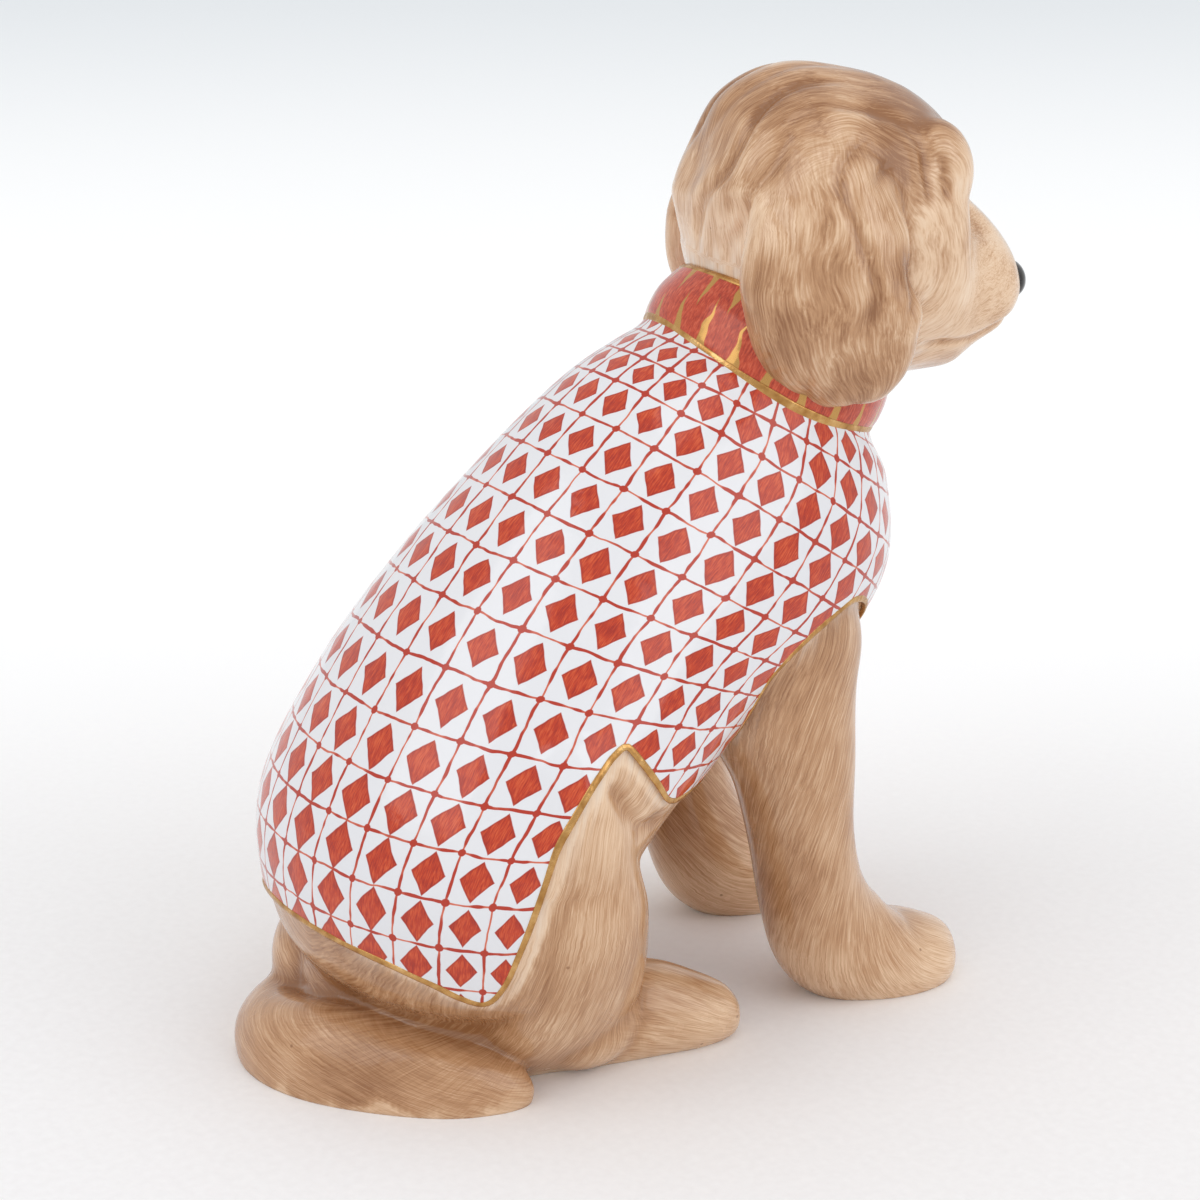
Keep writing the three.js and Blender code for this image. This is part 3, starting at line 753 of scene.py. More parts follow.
hindSkin, _ = carved(
    figure,
    (prism(hemOutline(coat["under"])), "INTERSECT"),
    (prism(armholeOutline(coat["under"])), "DIFFERENCE"),
    (ground, "DIFFERENCE"),
    (ventBore(), "DIFFERENCE"),
)
hindNodes = ["rump", "haunch_left", "haunch_right", "hind_foot_left", "hind_foot_right", "tail"]
hindPiece = piece("hindquarters", hindSkin, hindNodes, hindFacts(*hindSkin))
print("hindquarters", len(hindSkin[1]), "triangles")

forelegPieces = []
for side, high, low, slant in (("left", 60, 0.2, 0.085), ("right", -0.2, -60, -0.085)):
    block = prism(armholeOutline(coat["under"]), high, low)
    skin, _ = carved(figure, (block, "INTERSECT"), (ground, "DIFFERENCE"))
    strokes, _ = strokeMap(skin[0], forms["foreleg" + side.capitalize()], 6, slant)
    paw = np.clip((12 - skin[0][:, 2]) / 6, 0, 1)
    # Painted shade: the sides of the forelegs that face backwards, above the paws, are painted darker
    rearShade = np.clip(vertexNormals(*skin)[:, 1], 0, 1) * (1 - paw)
    pallor = paw * furPallor["paw"] + rearShade * furPallor["paintedRearShade"]
    facts = furFacts(skin, [strokes] * 3, np.tile([1.0, 0.0, 0.0], (len(strokes), 1)), pallor)
    forelegPieces.append(piece("foreleg_" + side + "_fur", skin, ["foreleg_" + side], facts))
print("forelegs made")


# Head and ears

head = {
    "middle": (0, -24.5, 83.5),
    "turn": -20,
    "grain": 0.42,
    "rounds": 7,
    "skull": [
        (15.2, 2.5, 15.4, -3, 5), (12.2, 9, 13.6, -8.5, 9.4), (9.6, 14.3, 9.4, -13, 12.6),
        (3.6, 17, 3.6, -16.5, 15.2), (-3.4, 16.2, -3, -17.2, 15.2), (-10, 13.9, -8, -17.2, 13.4),
        (-14.2, 10.2, -11.8, -17, 11.4), (-15, 5.8, -14.6, -16.8, 9.6), (-16.2, 2.8, -16, -15.8, 8.6),
        (-19.6, -0.7, -17.4, -14.6, 7.6), (-21.8, -3.7, -19.8, -13.2, 6.3), (-22.9, -6.6, -21.8, -11, 4),
    ],
    "eggs": [
        ((6.1, -10.7, 6.2), (5, 4.8, 5.9)),  # brow
        ((8, -11.2, -0.4), (3.4, 3.6, 3.6)),  # cheek
        ((9.4, 6.7, -3.2), (7.6, 7.6, 8)),  # nape
        ((9.6, 2.2, 4.4), (6.6, 7.6, 8)),  # temple
    ],
    "ear": [
        (7.5, 2.4, 12.4, 2, 5.5), (11.3, 2.6, 8.2, 2.8, 7.2), (14.5, 3, 2.4, 3.7, 8.6),
        (16, 3.4, -3.2, 4, 9.4), (16.3, 2.7, -8, 4, 8.9), (16, 1.2, -12, 3.6, 7.3),
        (15.6, 0.2, -14.9, 2.4, 4.4), (15.5, 0, -15.9, 1, 1.8),
    ],
    "leftEarTop": [(6.6, 1.2, 11.4, 1.6, 4.6), (10.5, 2, 7.4, 2.4, 6.4)],
    "earLean": (0.965, 0.26, 0),
    "underNape": [(11.4, 6.4), (12, 7.5), (13.2, 9.2), (15, 11.6), (17.6, 15), (26, 17), (26, 6.4)],
    "neckPlug": [(11, 3), (12.4, 12)],  # radius and height along the neck, as for underNape
    "calmNape": 4.5,  # the fur lies smooth within this distance of the collar
    "lockDepth": 0.6,
    "lockWidth": 4.6,
    "socket": {"place": (5.9, 0.6), "reach": 2.1, "depth": 1.2},
    "mouth": {"height": -12.1, "half": 0.42, "depth": 0.36},
    "browLines": {"places": (-9.2, -11.5), "low": 4.4, "high": 8.8, "half": 0.55, "depth": 0.38},
    "easeFront": {"middle": (-2.6, 8.8), "reach": (3.8, 5.2), "rounds": 160},
    "pallor": {"crown": -0.62, "ear": -0.32, "muzzle": 0.7, "cheek": 0.95, "nape": 0.75, "rim": 1.6},
}


def onFigure(points):
    # From the head's own axes to the figure's
    return turned(points, head["turn"]) + np.array(head["middle"])


def offFigure(skin):
    return turned(skin[0] - np.array(head["middle"]), -head["turn"]), skin[1]


def headSkins():
    # The skull stands on the collar's top, so what lies below that plane is cut off before the ears are added
    eggs = [skin for form in head["eggs"] for skin in eggPair(*form)]
    skull = fused([skinOf(trunkGuide(head["skull"]), 64), *eggs], head["grain"], 4)
    scoopRadius, scoopHeight = np.array(head["underNape"]).T
    scoop = closedRings(roundNeck(np.radians(np.linspace(-15, 195, 48))[:, None], scoopRadius, scoopHeight))
    block = neckBlock(collarRoll["height"] - 0.25)
    skull, _ = carved(skull, (offFigure(block), "INTERSECT"), (offFigure(scoop), "DIFFERENCE"))
    plugRadius, plugHeight = np.array(head["neckPlug"]).T[..., None]
    plug = closedRings(roundNeck(circleAngles(48), plugRadius, plugHeight))
    ear = limbGuide(head["ear"], head["earLean"])
    leftEar = limbGuide(head["leftEarTop"] + head["ear"][2:], head["earLean"])
    return ear, [skull, offFigure(plug), skinOf(leftEar, 56), skinOf(mirroredGuide(ear), 56)]


def aboveCollarTop(points):
    # How far points of the head, in its own axes, lie above the collar's upper edge along the neck
    return (onFigure(points) - neckBase) @ leanForward - collarRoll["height"]


def easedFront(points, faces):
    # In front of the ears' tops the fur runs on from the crown without a step
    ease = head["easeFront"]
    away = np.hypot(*((points[:, 1:] - ease["middle"]) / ease["reach"]).T)
    share = np.exp(-(away**4)) * ramped(np.abs(points[:, 0]), 7, 3)
    return points + (spreadOut(points, faces, ease["rounds"]) - points) * share[:, None]


def headStrokes(points, faces, earGuide):
    # On the crown strokes run from the nose bridge over and down the nape, in circles about the ears' line
    x, y, z = points.T
    crown = np.column_stack([np.arctan2(z + 2, -(y + 1)) * 16, x, np.zeros(len(points))])
    along, angle, share = onGuide(bothSides(points), earGuide)
    ear = np.column_stack([along, np.cos(angle) * 8, np.sin(angle) * 4])
    muzzle = np.column_stack([-y, z + 0.3 * y, x * 0.6])
    onEar = np.clip((1.35 - share) / 0.3, 0, 1) * ramped(np.abs(x), 11, 3)
    onMuzzle = ramped(-y, 13, 4) * np.clip((6 - z) / 4, 0, 1) * (1 - onEar)
    weight = np.column_stack([1 - onEar - onMuzzle, onEar, onMuzzle])
    weight = np.clip(spreadOut(weight, faces, 10), 0, 1)
    return crown, ear, muzzle, weight / weight.sum(1, keepdims=True)


def lockRelief(along, across, width, seed):
    # Wavy locks: rounded ridges across the strokes, whose middle lines sway and which end after a while
    bend = along / 4.2 + 2.5 * softNoise(along / 14, across / 9, seed)
    sway = 1.1 * np.sin(bend) + 2.2 * softNoise(along / 10, across / 8, seed + 1)
    phase = (across + sway) / width
    lock = np.round(phase)
    groove = np.exp(-((np.sin(np.pi * phase) / 0.42) ** 2))
    present = np.clip(0.5 + 1.2 * softNoise(along / 7 + 5 * lock, lock * 1.7, seed + 2), 0, 1)
    return -groove * present * 1.2 + 0.9 * softNoise(along / 6, across / 4.5, seed + 3)


def lockedFur(points, faces, crown, ear, weight):
    ofCrown = lockRelief(crown[:, 0], crown[:, 1], head["lockWidth"], 11)
    otherEar = np.where(points[:, 0] > 0, 0, 31)  # so that the two ears differ
    ofEar = lockRelief(ear[:, 0] + otherEar, points[:, 1], head["lockWidth"] * 0.9, 17)
    calm = ramped(points[:, 1], -14, 8) * np.clip(aboveCollarTop(points) / head["calmNape"], 0, 1)
    relief = (ofCrown * weight[:, 0] * calm + ofEar * weight[:, 1]) * head["lockDepth"]
    normals = vertexNormals(points, faces)
    return spreadOut(points + normals * relief[:, None], faces, 2), normals


def carvedFace(points, normals):
    # Eye sockets, the brows' grooves and the line of the mouth are pressed in along the surface
    socket, mouth, brow = head["socket"], head["mouth"], head["browLines"]
    x, y, z = points.T
    gap = np.hypot(np.abs(x) - socket["place"][0], z - socket["place"][1])
    pressed = np.exp(-((gap / socket["reach"]) ** 4)) * socket["depth"] * ramped(-y, 11, 2)
    level = mouth["height"] + 0.22 * np.maximum(-16.5 - y, 0) + 0.25 * np.sin(y * 0.5)
    line = np.exp(-(((z - level) / mouth["half"]) ** 2)) * ramped(-y, 8.5, 1.5) * mouth["depth"]
    within = 1 / (1 + np.exp(-4 * (z - brow["low"]))) / (1 + np.exp(4 * (z - brow["high"])))
    within = within * ramped(np.abs(x), 4, 2) * brow["depth"]
    for place in brow["places"]:
        line = line + np.exp(-(((y - place - 0.1 * z) / brow["half"]) ** 2)) * within
    moved = points - normals * line[:, None]
    moved[:, 1] += pressed
    return moved, line


def headPallor(points, faces, weight):
    # The crown's paint is deepest, and the paint pales towards the cheeks, the muzzle and the nape; on the
    # cheeks and muzzle part of that paleness is painted light
    pallor = head["pallor"]
    tone = weight @ np.array([pallor[key] for key in ("crown", "ear", "muzzle")])
    cheek = ramped(-points[:, 1], 4, 4) * np.clip((14 - points[:, 2]) / 12, 0, 1) * weight[:, 0]
    nape = ramped(points[:, 1], 2, 5) * np.clip((9 - points[:, 2]) / 6, 0, 1) * weight[:, 0]
    tone = tone + cheek * (pallor["cheek"] - pallor["crown"]) + nape * (pallor["nape"] - pallor["crown"])
    return spreadOut(tone, faces, 10)[:, 0]


earGuide, headParts = headSkins()
headPoints, headFaces = fused(headParts, head["grain"], head["rounds"])
headPoints = easedFront(headPoints, headFaces)
crown, ear, muzzle, weight = headStrokes(headPoints, headFaces, earGuide)
headPoints, headNormals = lockedFur(headPoints, headFaces, crown, ear, weight)
headPoints, faceLines = carvedFace(headPoints, headNormals)
headSkin = (onFigure(headPoints), headFaces)
headRim = np.exp(-np.clip(aboveCollarTop(headPoints), 0, None) / head["pallor"]["rim"]) * (1 - weight[:, 1])
headPiece = piece("head_fur", headSkin, ["head", "ear_left", "ear_right"], {
    "strokeA": crown,
    "strokeB": ear,
    "strokeC": muzzle,
    "strokeWeight": weight,
    # Creases and the pressed face lines, which the material paints darker as painted shade
    "creaseShade": np.clip(hollowness(*headSkin) / 0.3 + 1.1 * faceLines, -1, 1),
    "nearEdge": headRim,
    "pallor": headPallor(headPoints, headFaces, weight),
})
print("head", len(headFaces), "triangles")


# Collar

def collarSkin():
    # The roll's outer face, and an inner wall set in by its thickness, closed into one ring
    outer, height, angle = collarRings(8, 240)
    centre = (neckBase + height[:, None] * leanForward)[:, None]
    inner = centre + (outer - centre) * (1 - collarRoll["thickness"] / (neck["diameter"] / 2))
    rings = np.concatenate([outer, inner[::-1]])
    count, around = rings.shape[:2]
    level = np.repeat(np.concatenate([height, height[::-1]]), around) / collarRoll["height"]
    turn = np.tile(angle, count)
    facing = np.repeat([1.0, 0.0], len(height) * around)
    facts = {"ribMap": np.column_stack([np.cos(turn), np.sin(turn), level]), "outerFace": facing}
    return outward(rings.reshape(-1, 3), ringFaces(count, around, closed=True)), facts


collarShape, collarFacts = collarSkin()
collarPiece = piece("collar_roll", collarShape, ["collar"], collarFacts)
print("collar made")


# Face

face = {
    "nose": ((0, -22.4, -7.9), (2.9, 1.8, 2.1)),
    "eye": ((5.8, -13.9, 0.6), (1.5, 1.3, 1.4)),
}


def onFace(name, skin):
    return piece(name, (onFigure(skin[0]), skin[1]))


nosePiece = onFace("nose", egg(*face["nose"], 48, 24))
eyePieces = [onFace(name, eye) for name, eye in zip(("eye_left", "eye_right"), eggPair(*face["eye"]))]


# Materials

def paint(red, green, blue):
    # A colour as it looks on screen, 0 to 255, for a shader socket
    value = np.array([red, green, blue]) / 255
    linear = np.where(value <= 0.04045, value / 12.92, ((value + 0.055) / 1.055) ** 2.4)
    return (*linear.tolist(), 1)


class Signal:
    # The output of a node, on which plain arithmetic adds Math nodes
    def __init__(self, wires, socket):
        self.wires = wires
        self.socket = socket

    def __add__(self, other):
        return self.wires.math("ADD", self, other)

    def __sub__(self, other):
        return self.wires.math("SUBTRACT", self, other)

    def __rsub__(self, other):
        return self.wires.math("SUBTRACT", other, self)

    def __mul__(self, other):
        return self.wires.math("MULTIPLY", self, other)

    def __truediv__(self, other):
        return self.wires.math("DIVIDE", self, other)

    def __pow__(self, other):
        return self.wires.math("POWER", self, other)

    def __abs__(self):
        return self.wires.math("ABSOLUTE", self)

    __radd__ = __add__


class Wires:
    # Short ways to add nodes to a tree
    def __init__(self, tree):
        self.tree = tree

    def put(self, node, values):
        # Values for inputs by number or name: a signal is linked, and anything else is set
        for key, value in values.items():
            if isinstance(value, Signal):
                self.tree.links.new(value.socket, node.inputs[key])
            else:
                node.inputs[key].default_value = value

    def add(self, kind, *values, named=None, **settings):
        # A node with its settings, and values for its first inputs and for the named ones
        made = self.tree.nodes.new(kind)
        for key, value in settings.items():
            setattr(made, key, value)
        self.put(made, {**dict(enumerate(values)), **(named or {})})
        return made

    def node(self, kind, *values, out=0, **rest):
        return Signal(self, self.add(kind, *values, **rest).outputs[out])

    def split(self, kind, *values, **rest):
        return [Signal(self, socket) for socket in self.add(kind, *values, **rest).outputs]

    def math(self, operation, *values, clamp=False):
        return self.node("ShaderNodeMath", *values, operation=operation, use_clamp=clamp)

    def vector(self, operation, *values):
        return self.node("ShaderNodeVectorMath", *values, operation=operation)

    def scaled(self, vector, amount):
        return self.node("ShaderNodeVectorMath", vector, operation="SCALE", named={"Scale": amount})

    def xyz(self, vector):
        return self.split("ShaderNodeSeparateXYZ", vector)

    def together(self, x, y, z):
        return self.node("ShaderNodeCombineXYZ", x, y, z)

    def noise(self, vector, scale, detail=2.0, roughness=0.5, out="Fac"):
        named = {"Vector": vector, "Scale": scale, "Detail": detail, "Roughness": roughness}
        return self.node("ShaderNodeTexNoise", named=named, out=out)

    def shake(self, vector, scale, detail):
        # Noise about zero, as a vector
        return self.vector("SUBTRACT", self.noise(vector, scale, detail, out="Color"), (0.5, 0.5, 0.5))

    def ramp(self, value, *stops):
        # Each stop is a position and a colour as it looks on screen
        made = self.add("ShaderNodeValToRGB", value)
        bar = made.color_ramp
        bar.elements.remove(bar.elements[-1])
        bar.elements[0].position, bar.elements[0].color = stops[0][0], paint(*stops[0][1])
        for position, colour in stops[1:]:
            bar.elements.new(position).color = paint(*colour)
        return Signal(self, made.outputs["Color"])

    def between(self, value, low, high, start=0.0, end=1.0):
        kind = "ShaderNodeMapRange"
        return self.node(kind, value, low, high, start, end, interpolation_type="SMOOTHSTEP")

    def edge(self, amount, width, middle=0.5):
        # From 0 to 1 over the width, with the middle's value where the amount is nought
        return self.math("ADD", amount / width, middle, clamp=True)

    def mix(self, share, first, second):
        named = {"Factor": share, 6: first, 7: second}
        return self.node("ShaderNodeMix", data_type="RGBA", clamp_factor=True, named=named, out=2)

    def attribute(self, name, out="Fac"):
        return self.node("ShaderNodeAttribute", attribute_name=name, out=out)


def newGroup(name, wiring, inputs, outputs):
    # Inputs with a value are plain numbers and the others vectors; the wiring turns them into the outputs
    tree = bpy.data.node_groups.new(name, "ShaderNodeTree")
    for label, value in inputs.items():
        kind = "NodeSocketVector" if value is None else "NodeSocketFloat"
        socket = tree.interface.new_socket(label, in_out="INPUT", socket_type=kind)
        if value is not None:
            socket.default_value = value
    for label in outputs:
        tree.interface.new_socket(label, in_out="OUTPUT", socket_type="NodeSocketFloat")
    wires = Wires(tree)
    wires.add("NodeGroupOutput", *wiring(wires, *wires.split("NodeGroupInput")[: len(inputs)]))
    return tree


def brushWiring(wires, strokes, spot, width, length, sway):
    # Fine strokes of a nearly dry brush: noise drawn out along X of the stroke map, in millimetres
    drift = wires.scaled(wires.shake(spot, 0.16, 1.0), sway * 6.0)
    along, across, over = wires.xyz(wires.vector("ADD", strokes, drift))
    drawn = wires.together(along / length, across / width, over / width)
    fine = wires.noise(drawn, 1.0, 3.0, 0.6)
    return fine, wires.noise(wires.vector("MULTIPLY", drawn, (0.7, 0.16, 0.16)), 1.0)


def glazeWiring(wires, spot, roughness):
    # The glaze's own small waves, smears and specks: a height for bump, a roughness, and where the specks are
    height = wires.noise(spot, 0.35, 2.0, 0.45) + wires.noise(spot, 1.6, 1.0) * 0.12
    smeared = roughness * wires.between(wires.noise(spot, 0.2, 3.0, 0.6), 0.3, 0.75, 0.7, 1.5)
    cells = {"Vector": spot, "Scale": 0.21}
    gap = wires.node("ShaderNodeTexVoronoi", feature="F1", named=cells, out="Distance")
    return height, smeared, wires.between(gap, 0.03, 0.05, 1.0, 0.0)


brushInputs = {"Stroke map": None, "Place": None, "Width": 0.25, "Length": 6.0, "Sway": 1.0}
brushStrokes = newGroup("brushStrokes", brushWiring, brushInputs, ["Fine", "Broad"])
glazeInputs = {"Place": None, "Roughness": 0.1}
glazeSkin = newGroup("glazeSkin", glazeWiring, glazeInputs, ["Height", "Roughness", "Specks"])


def newMaterial(name):
    # A material with one shader, and its place on the piece in millimetres
    material = bpy.data.materials.new(name)
    material.use_nodes = True
    material.node_tree.nodes.clear()
    wires = Wires(material.node_tree)
    shader = wires.add("ShaderNodeBsdfPrincipled")
    wires.add("ShaderNodeOutputMaterial", Signal(wires, shader.outputs["BSDF"]))
    return material, wires, shader, wires.scaled(wires.node("ShaderNodeTexCoord", out="Object"), 1000.0)


glaze = {
    "ior": 1.5,
    "coat": 0.2,
    "coatRoughness": 0.05,
    "waves": 0.0004,
    "speck": (128, 84, 50),
    "speckShare": 0.6,
}


def glazed(wires, shader, spot, colour, roughness, bump=0.2, speckled=False):
    # Colour under a clear glaze: an even shine whose surface waves a little
    height, rough, specks = wires.split("ShaderNodeGroup", spot, roughness, node_tree=glazeSkin)
    if speckled:
        colour = wires.mix(specks * glaze["speckShare"], colour, paint(*glaze["speck"]))
    waves = {"Strength": bump, "Distance": glaze["waves"], "Height": height}
    wires.put(shader, {
        "Base Color": colour,
        "Roughness": rough,
        "Normal": wires.node("ShaderNodeBump", named=waves),
        "IOR": glaze["ior"],
        "Coat Weight": glaze["coat"],
        "Coat Roughness": glaze["coatRoughness"],
    })


furPaint = {
    "deep": (146, 98, 60),
    "middle": (190, 145, 106),
    "pale": (230, 196, 162),
    "light": (242, 216, 188),
    "bare": (226, 216, 206),
    "strokeWidth": 0.14,
    "strokeLength": 4.0,
    "fine": 1.25,  # from here on, how far each of them moves the tone
    "broad": 0.55,
    "patches": 1.3,
    "creaseShade": 0.5,
    "pallor": 0.35,
}


def furMaterial(name, sway, mottle):
    material, wires, shader, spot = newMaterial(name)
    brush = (spot, furPaint["strokeWidth"], furPaint["strokeLength"], sway)
    fine = broad = 0.0
    weights = wires.xyz(wires.attribute("strokeWeight", "Vector"))
    for key, weight in zip(("strokeA", "strokeB", "strokeC"), weights):
        course = wires.attribute(key, "Vector")
        strokes = wires.split("ShaderNodeGroup", course, *brush, node_tree=brushStrokes)
        fine, broad = fine + strokes[0] * weight, broad + strokes[1] * weight
    tone = (fine - 0.5) * furPaint["fine"] + (broad - 0.5) * (furPaint["broad"] * mottle)
    tone = tone + (wires.noise(spot, 0.11) - 0.5) * (furPaint["patches"] * mottle)
    # Painted shade: the fur is darker in creases and the pressed face lines, partly where the glaze pools,
    # and painted lighter on ridges
    tone = tone - wires.attribute("creaseShade") * furPaint["creaseShade"]
    tone = tone + wires.attribute("pallor") * furPaint["pallor"]
    stops = zip((0.12, 0.4, 0.69, 0.95), (furPaint[key] for key in ("deep", "middle", "pale", "light")))
    colour = wires.ramp(tone * 0.72 + 0.4, *stops)
    bareness = wires.attribute("nearEdge") * wires.between(broad, 0.42, 0.62, 0.1, 0.75)
    colour = wires.mix(bareness, colour, paint(*furPaint["bare"]))
    glazed(wires, shader, spot, colour, 0.2, 0.25, speckled=True)
    return material


coatPaint = {
    "ground": (232, 232, 235),
    "cool": (225, 227, 232),
    "line": (180, 46, 18),
    "thinLine": (214, 110, 82),
    "stroke": (192, 56, 16),
    "deep": (160, 32, 10),
    "light": (216, 92, 46),
    "lineWidth": 0.31,
    "knot": 0.42,
    "lozenge": (1.9, 2.5),
    "lozengeCell": 5.4,  # the width of a pane in which the lozenge has that size
    "rim": 0.86,
    "unsteady": 0.13,  # how far the lines sway, as a share of a pane
}


def coatMaterial():
    # Panes between thin lines, with a dot at each crossing and a lozenge in each pane
    material, wires, shader, spot = newMaterial("coat_paint")
    cosine, sine, row = wires.xyz(wires.attribute("coatMap", "Vector"))
    wide, tall, _ = wires.xyz(wires.attribute("coatCell", "Vector"))
    shakeX, shakeY, _ = wires.xyz(wires.shake(spot, 0.28, 2.0))
    column = wires.math("ARCTAN2", sine, cosine) * (coat["columns"] / (2 * np.pi))
    column, row = column + shakeX * coatPaint["unsteady"], row + shakeY * coatPaint["unsteady"]
    x, y = (wires.math("FRACT", column) - 0.5) * wide, (wires.math("FRACT", row) - 0.5) * tall
    toSide, toEnd = wide * 0.5 - abs(x), tall * 0.5 - abs(y)
    pressure = wires.between(wires.noise(spot, 0.5, 1.0), 0.3, 0.7, 0.6, 1.3)
    line = wires.edge(pressure * (coatPaint["lineWidth"] / 2) - wires.math("MINIMUM", toSide, toEnd), 0.05)
    corner = wires.math("SQRT", toSide**2.0 + toEnd**2.0)
    knot = wires.edge(coatPaint["knot"] - corner, 0.06)
    size = wide / coatPaint["lozengeCell"]
    reach = abs(x) / (size * coatPaint["lozenge"][0]) + abs(y) / (size * coatPaint["lozenge"][1])
    lozenge, rim = wires.edge(1.0 - reach, 0.05), wires.edge(reach - coatPaint["rim"], 0.06)
    hair = wires.together(x * 7.0, y * 0.55, row * 3.0)
    tone = wires.noise(hair, 1.0, 2.0, 0.6) * 0.75 + wires.noise(spot, 0.7, 1.0) * 0.25
    fill = wires.ramp(tone, (0.34, coatPaint["deep"]), (0.5, coatPaint["stroke"]), (0.68, coatPaint["light"]))
    fill = wires.mix(rim * 0.55, fill, paint(*coatPaint["deep"]))
    lineTone = wires.ramp(pressure, (0.6, coatPaint["thinLine"]), (1.0, coatPaint["line"]))
    colour = wires.mix(wires.noise(spot, 0.05), paint(*coatPaint["ground"]), paint(*coatPaint["cool"]))
    for share, over in ((line, lineTone), (knot, paint(*coatPaint["line"])), (lozenge, fill)):
        colour = wires.mix(share, colour, over)
    glazed(wires, shader, spot, colour, 0.13)
    return material


collarPaint = {
    "ribs": 21,
    "deep": (152, 38, 14),
    "red": (192, 68, 36),
    "light": (216, 104, 70),
    "gold": (196, 150, 84),
    "lean": 0.3,  # how far a rib leans over the collar's height, in ribs
    "rising": (0.66, 1.35),  # the wedges' length, as a share of the collar's height, and width
    "falling": (0.5, 1.2),
}


def collarMaterial():
    material, wires, shader, spot = newMaterial("collar_paint")
    cosine, sine, level = wires.xyz(wires.attribute("ribMap", "Vector"))
    turn = wires.math("ARCTAN2", sine, cosine)
    shakeX, shakeY, _ = wires.xyz(wires.shake(spot, 0.4, 1.0))
    column = turn * (collarPaint["ribs"] / (2 * np.pi)) + level * collarPaint["lean"] + shakeX * 0.3
    pitch = np.pi * neck["diameter"] / collarPaint["ribs"]

    def wedges(number, lift, length, width):
        # Each wedge is widest at its edge of the collar and runs out to a point
        off = abs(wires.math("FRACT", number) - 0.5) * pitch
        whole = wires.math("FLOOR", number)
        own = wires.node("ShaderNodeTexWhiteNoise", noise_dimensions="1D", named={"W": whole}, out="Value")
        reach = wires.between(own, 0.0, 1.0, 0.75, 1.15) * length
        fade = wires.math("SUBTRACT", 1.0, lift / reach, clamp=True)
        inside = wires.edge(fade**1.15 * (width / 2) - off, 0.06, 0.0)
        return inside * wires.math("GREATER_THAN", fade, 0.01)

    rising = wedges(column, level, *collarPaint["rising"])
    falling = wedges(column + 0.5, 1.0 - level, *collarPaint["falling"])
    gold = wires.math("MAXIMUM", rising, falling) * wires.attribute("outerFace")
    strokes = wires.noise(wires.together(turn * 60.0, level * 9.0, shakeY * 2.0), 1.0, 3.0, 0.6)
    stops = (0.3, collarPaint["deep"]), (0.52, collarPaint["red"]), (0.72, collarPaint["light"])
    colour = wires.mix(gold, wires.ramp(strokes, *stops), paint(*collarPaint["gold"]))
    glazed(wires, shader, spot, colour, 0.16)
    wires.put(shader, {"Metallic": gold * 0.75})
    return material


goldPaint = {"dull": (168, 120, 66), "middle": (200, 154, 94), "bright": (228, 188, 128)}


def goldMaterial():
    material, wires, shader, spot = newMaterial("burnished_gold")
    worn = wires.noise(spot, 0.6, 3.0, 0.6)
    grain = {"Strength": 0.3, "Distance": 0.0002, "Height": wires.noise(spot, 2.2)}
    wires.put(shader, {
        "Base Color": wires.ramp(worn, *zip((0.3, 0.55, 0.75), goldPaint.values())),
        "Metallic": 1.0,
        "Roughness": wires.between(worn, 0.3, 0.7, 0.34, 0.2),
        "Normal": wires.node("ShaderNodeBump", named=grain),
    })
    return material


def darkMaterial(name, colour, light):
    material, wires, shader, spot = newMaterial(name)
    mottled = wires.noise(spot, 1.4, 3.0, 0.6)
    glazed(wires, shader, spot, wires.ramp(mottled, (0.4, colour), (0.8, light)), 0.1)
    return material


def finish(material, *objects):
    for obj in objects:
        obj.data.materials.clear()
        obj.data.materials.append(material)


finish(furMaterial("fur_paint", 0.1, 0.5), hindPiece, *forelegPieces)
finish(furMaterial("head_fur_paint", 0.22, 1.1), headPiece)
finish(coatMaterial(), coatPiece)
finish(collarMaterial(), collarPiece)
finish(goldMaterial(), giltPiece)
finish(darkMaterial("nose_paint", (24, 22, 22), (60, 54, 50)), nosePiece)
finish(darkMaterial("eye_paint", (26, 16, 12), (58, 36, 24)), *eyePieces)
print("materials made")


# Studio

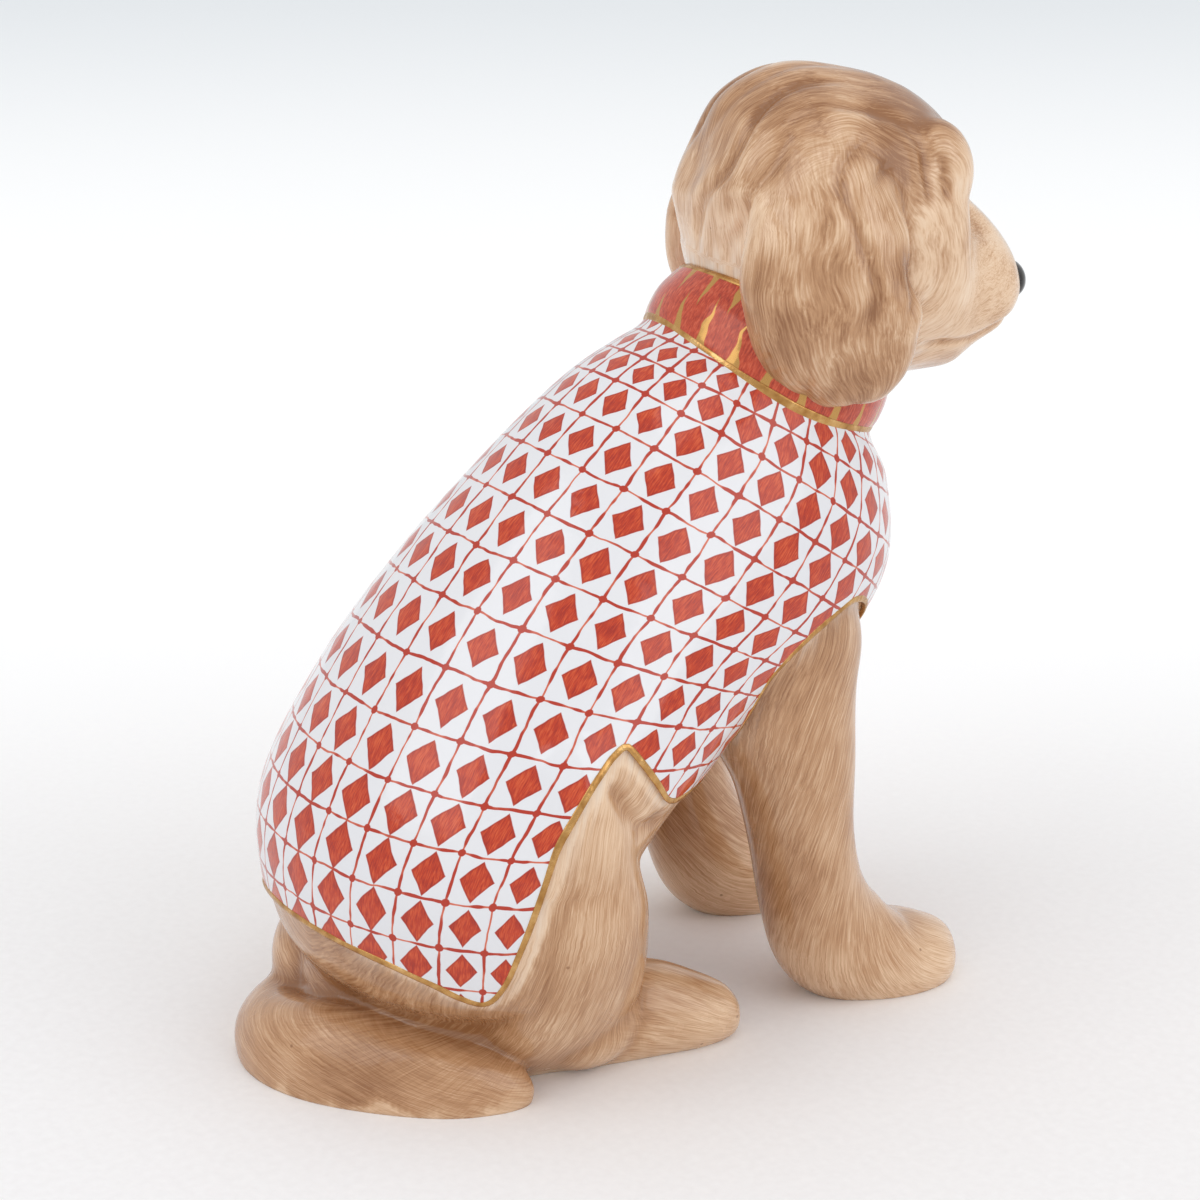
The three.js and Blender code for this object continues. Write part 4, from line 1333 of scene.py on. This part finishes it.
studio = {
    "floor": (248, 248, 249),
    "weave": (238, 237, 238),
    "lit": (252, 253, 254),
    "far": (229, 234, 238),
    "lightFrom": (0.82, -0.57, 0.0),  # painted light: the floor is paler on this side, and painted dimmer again far out
    "paler": (-20, 160),
    "dimmer": (270, 640),
    "paintedGlow": 0.07,
    "lamps": {
        "key": {"place": (0.0, 2.0, 2.0), "size": 2.0, "power": 13.0},
        "fill": {"place": (-1.9, -0.9, 1.3), "size": 1.8, "power": 10.0},
        "top": {"place": (-0.3, 0.0, 1.1), "size": 0.45, "power": 0.5},
    },
    "aim": (0, 0, 0.045),
    "room": 0.8,
}


def makeFloor():
    corners = np.array([(-3, -3, 0), (3, -3, 0), (3, 3, 0), (-3, 3, 0)], float)
    floor = bpy.data.objects.new("floor", meshFrom("floor", corners, np.array([[0, 1, 2, 3]])))
    bpy.context.scene.collection.objects.link(floor)
    material, wires, shader, spot = newMaterial("paper_floor")
    side = wires.node("ShaderNodeVectorMath", spot, studio["lightFrom"], operation="DOT_PRODUCT", out="Value")
    away, far = (wires.between(side, *studio[key]) for key in ("paler", "dimmer"))
    colour = paint(*studio["floor"])
    for share, key in ((wires.noise(spot, 0.9, 3.0, 0.6), "weave"), (away, "lit"), (far, "far")):
        colour = wires.mix(share, colour, paint(*studio[key]))
    # Painted light: the floor glows a little for camera rays only, most on its paler side and least far out
    seen = wires.node("ShaderNodeLightPath", out="Is Camera Ray")
    paintedGlow = wires.between(away, 0.0, 1.0, 0.35, 1.0) * studio["paintedGlow"] * (1.0 - far) * seen
    wires.put(shader, {
        "Base Color": colour,
        "Emission Color": (0.98, 0.99, 1, 1),
        "Emission Strength": paintedGlow,
        "Roughness": 0.9,
    })
    finish(material, floor)


def makeLamps():
    for name, lamp in studio["lamps"].items():
        light = bpy.data.lights.new(name, "AREA")
        light.shape = "SQUARE"
        light.size = lamp["size"]
        light.energy = lamp["power"]
        holder = bpy.data.objects.new(name, light)
        holder.location = lamp["place"]
        toAim = Vector(studio["aim"]) - Vector(lamp["place"])
        holder.rotation_euler = toAim.to_track_quat("-Z", "Y").to_euler()
        bpy.context.scene.collection.objects.link(holder)


def makeWorld():
    world = bpy.data.worlds.new("studio")
    world.use_nodes = True
    background = world.node_tree.nodes["Background"]
    background.inputs["Color"].default_value = (1, 1, 1, 1)
    background.inputs["Strength"].default_value = studio["room"]
    bpy.context.scene.world = world


makeFloor()
makeLamps()
makeWorld()
print("studio made")

bpy.context.scene.view_settings.view_transform = "Standard"
print("done")
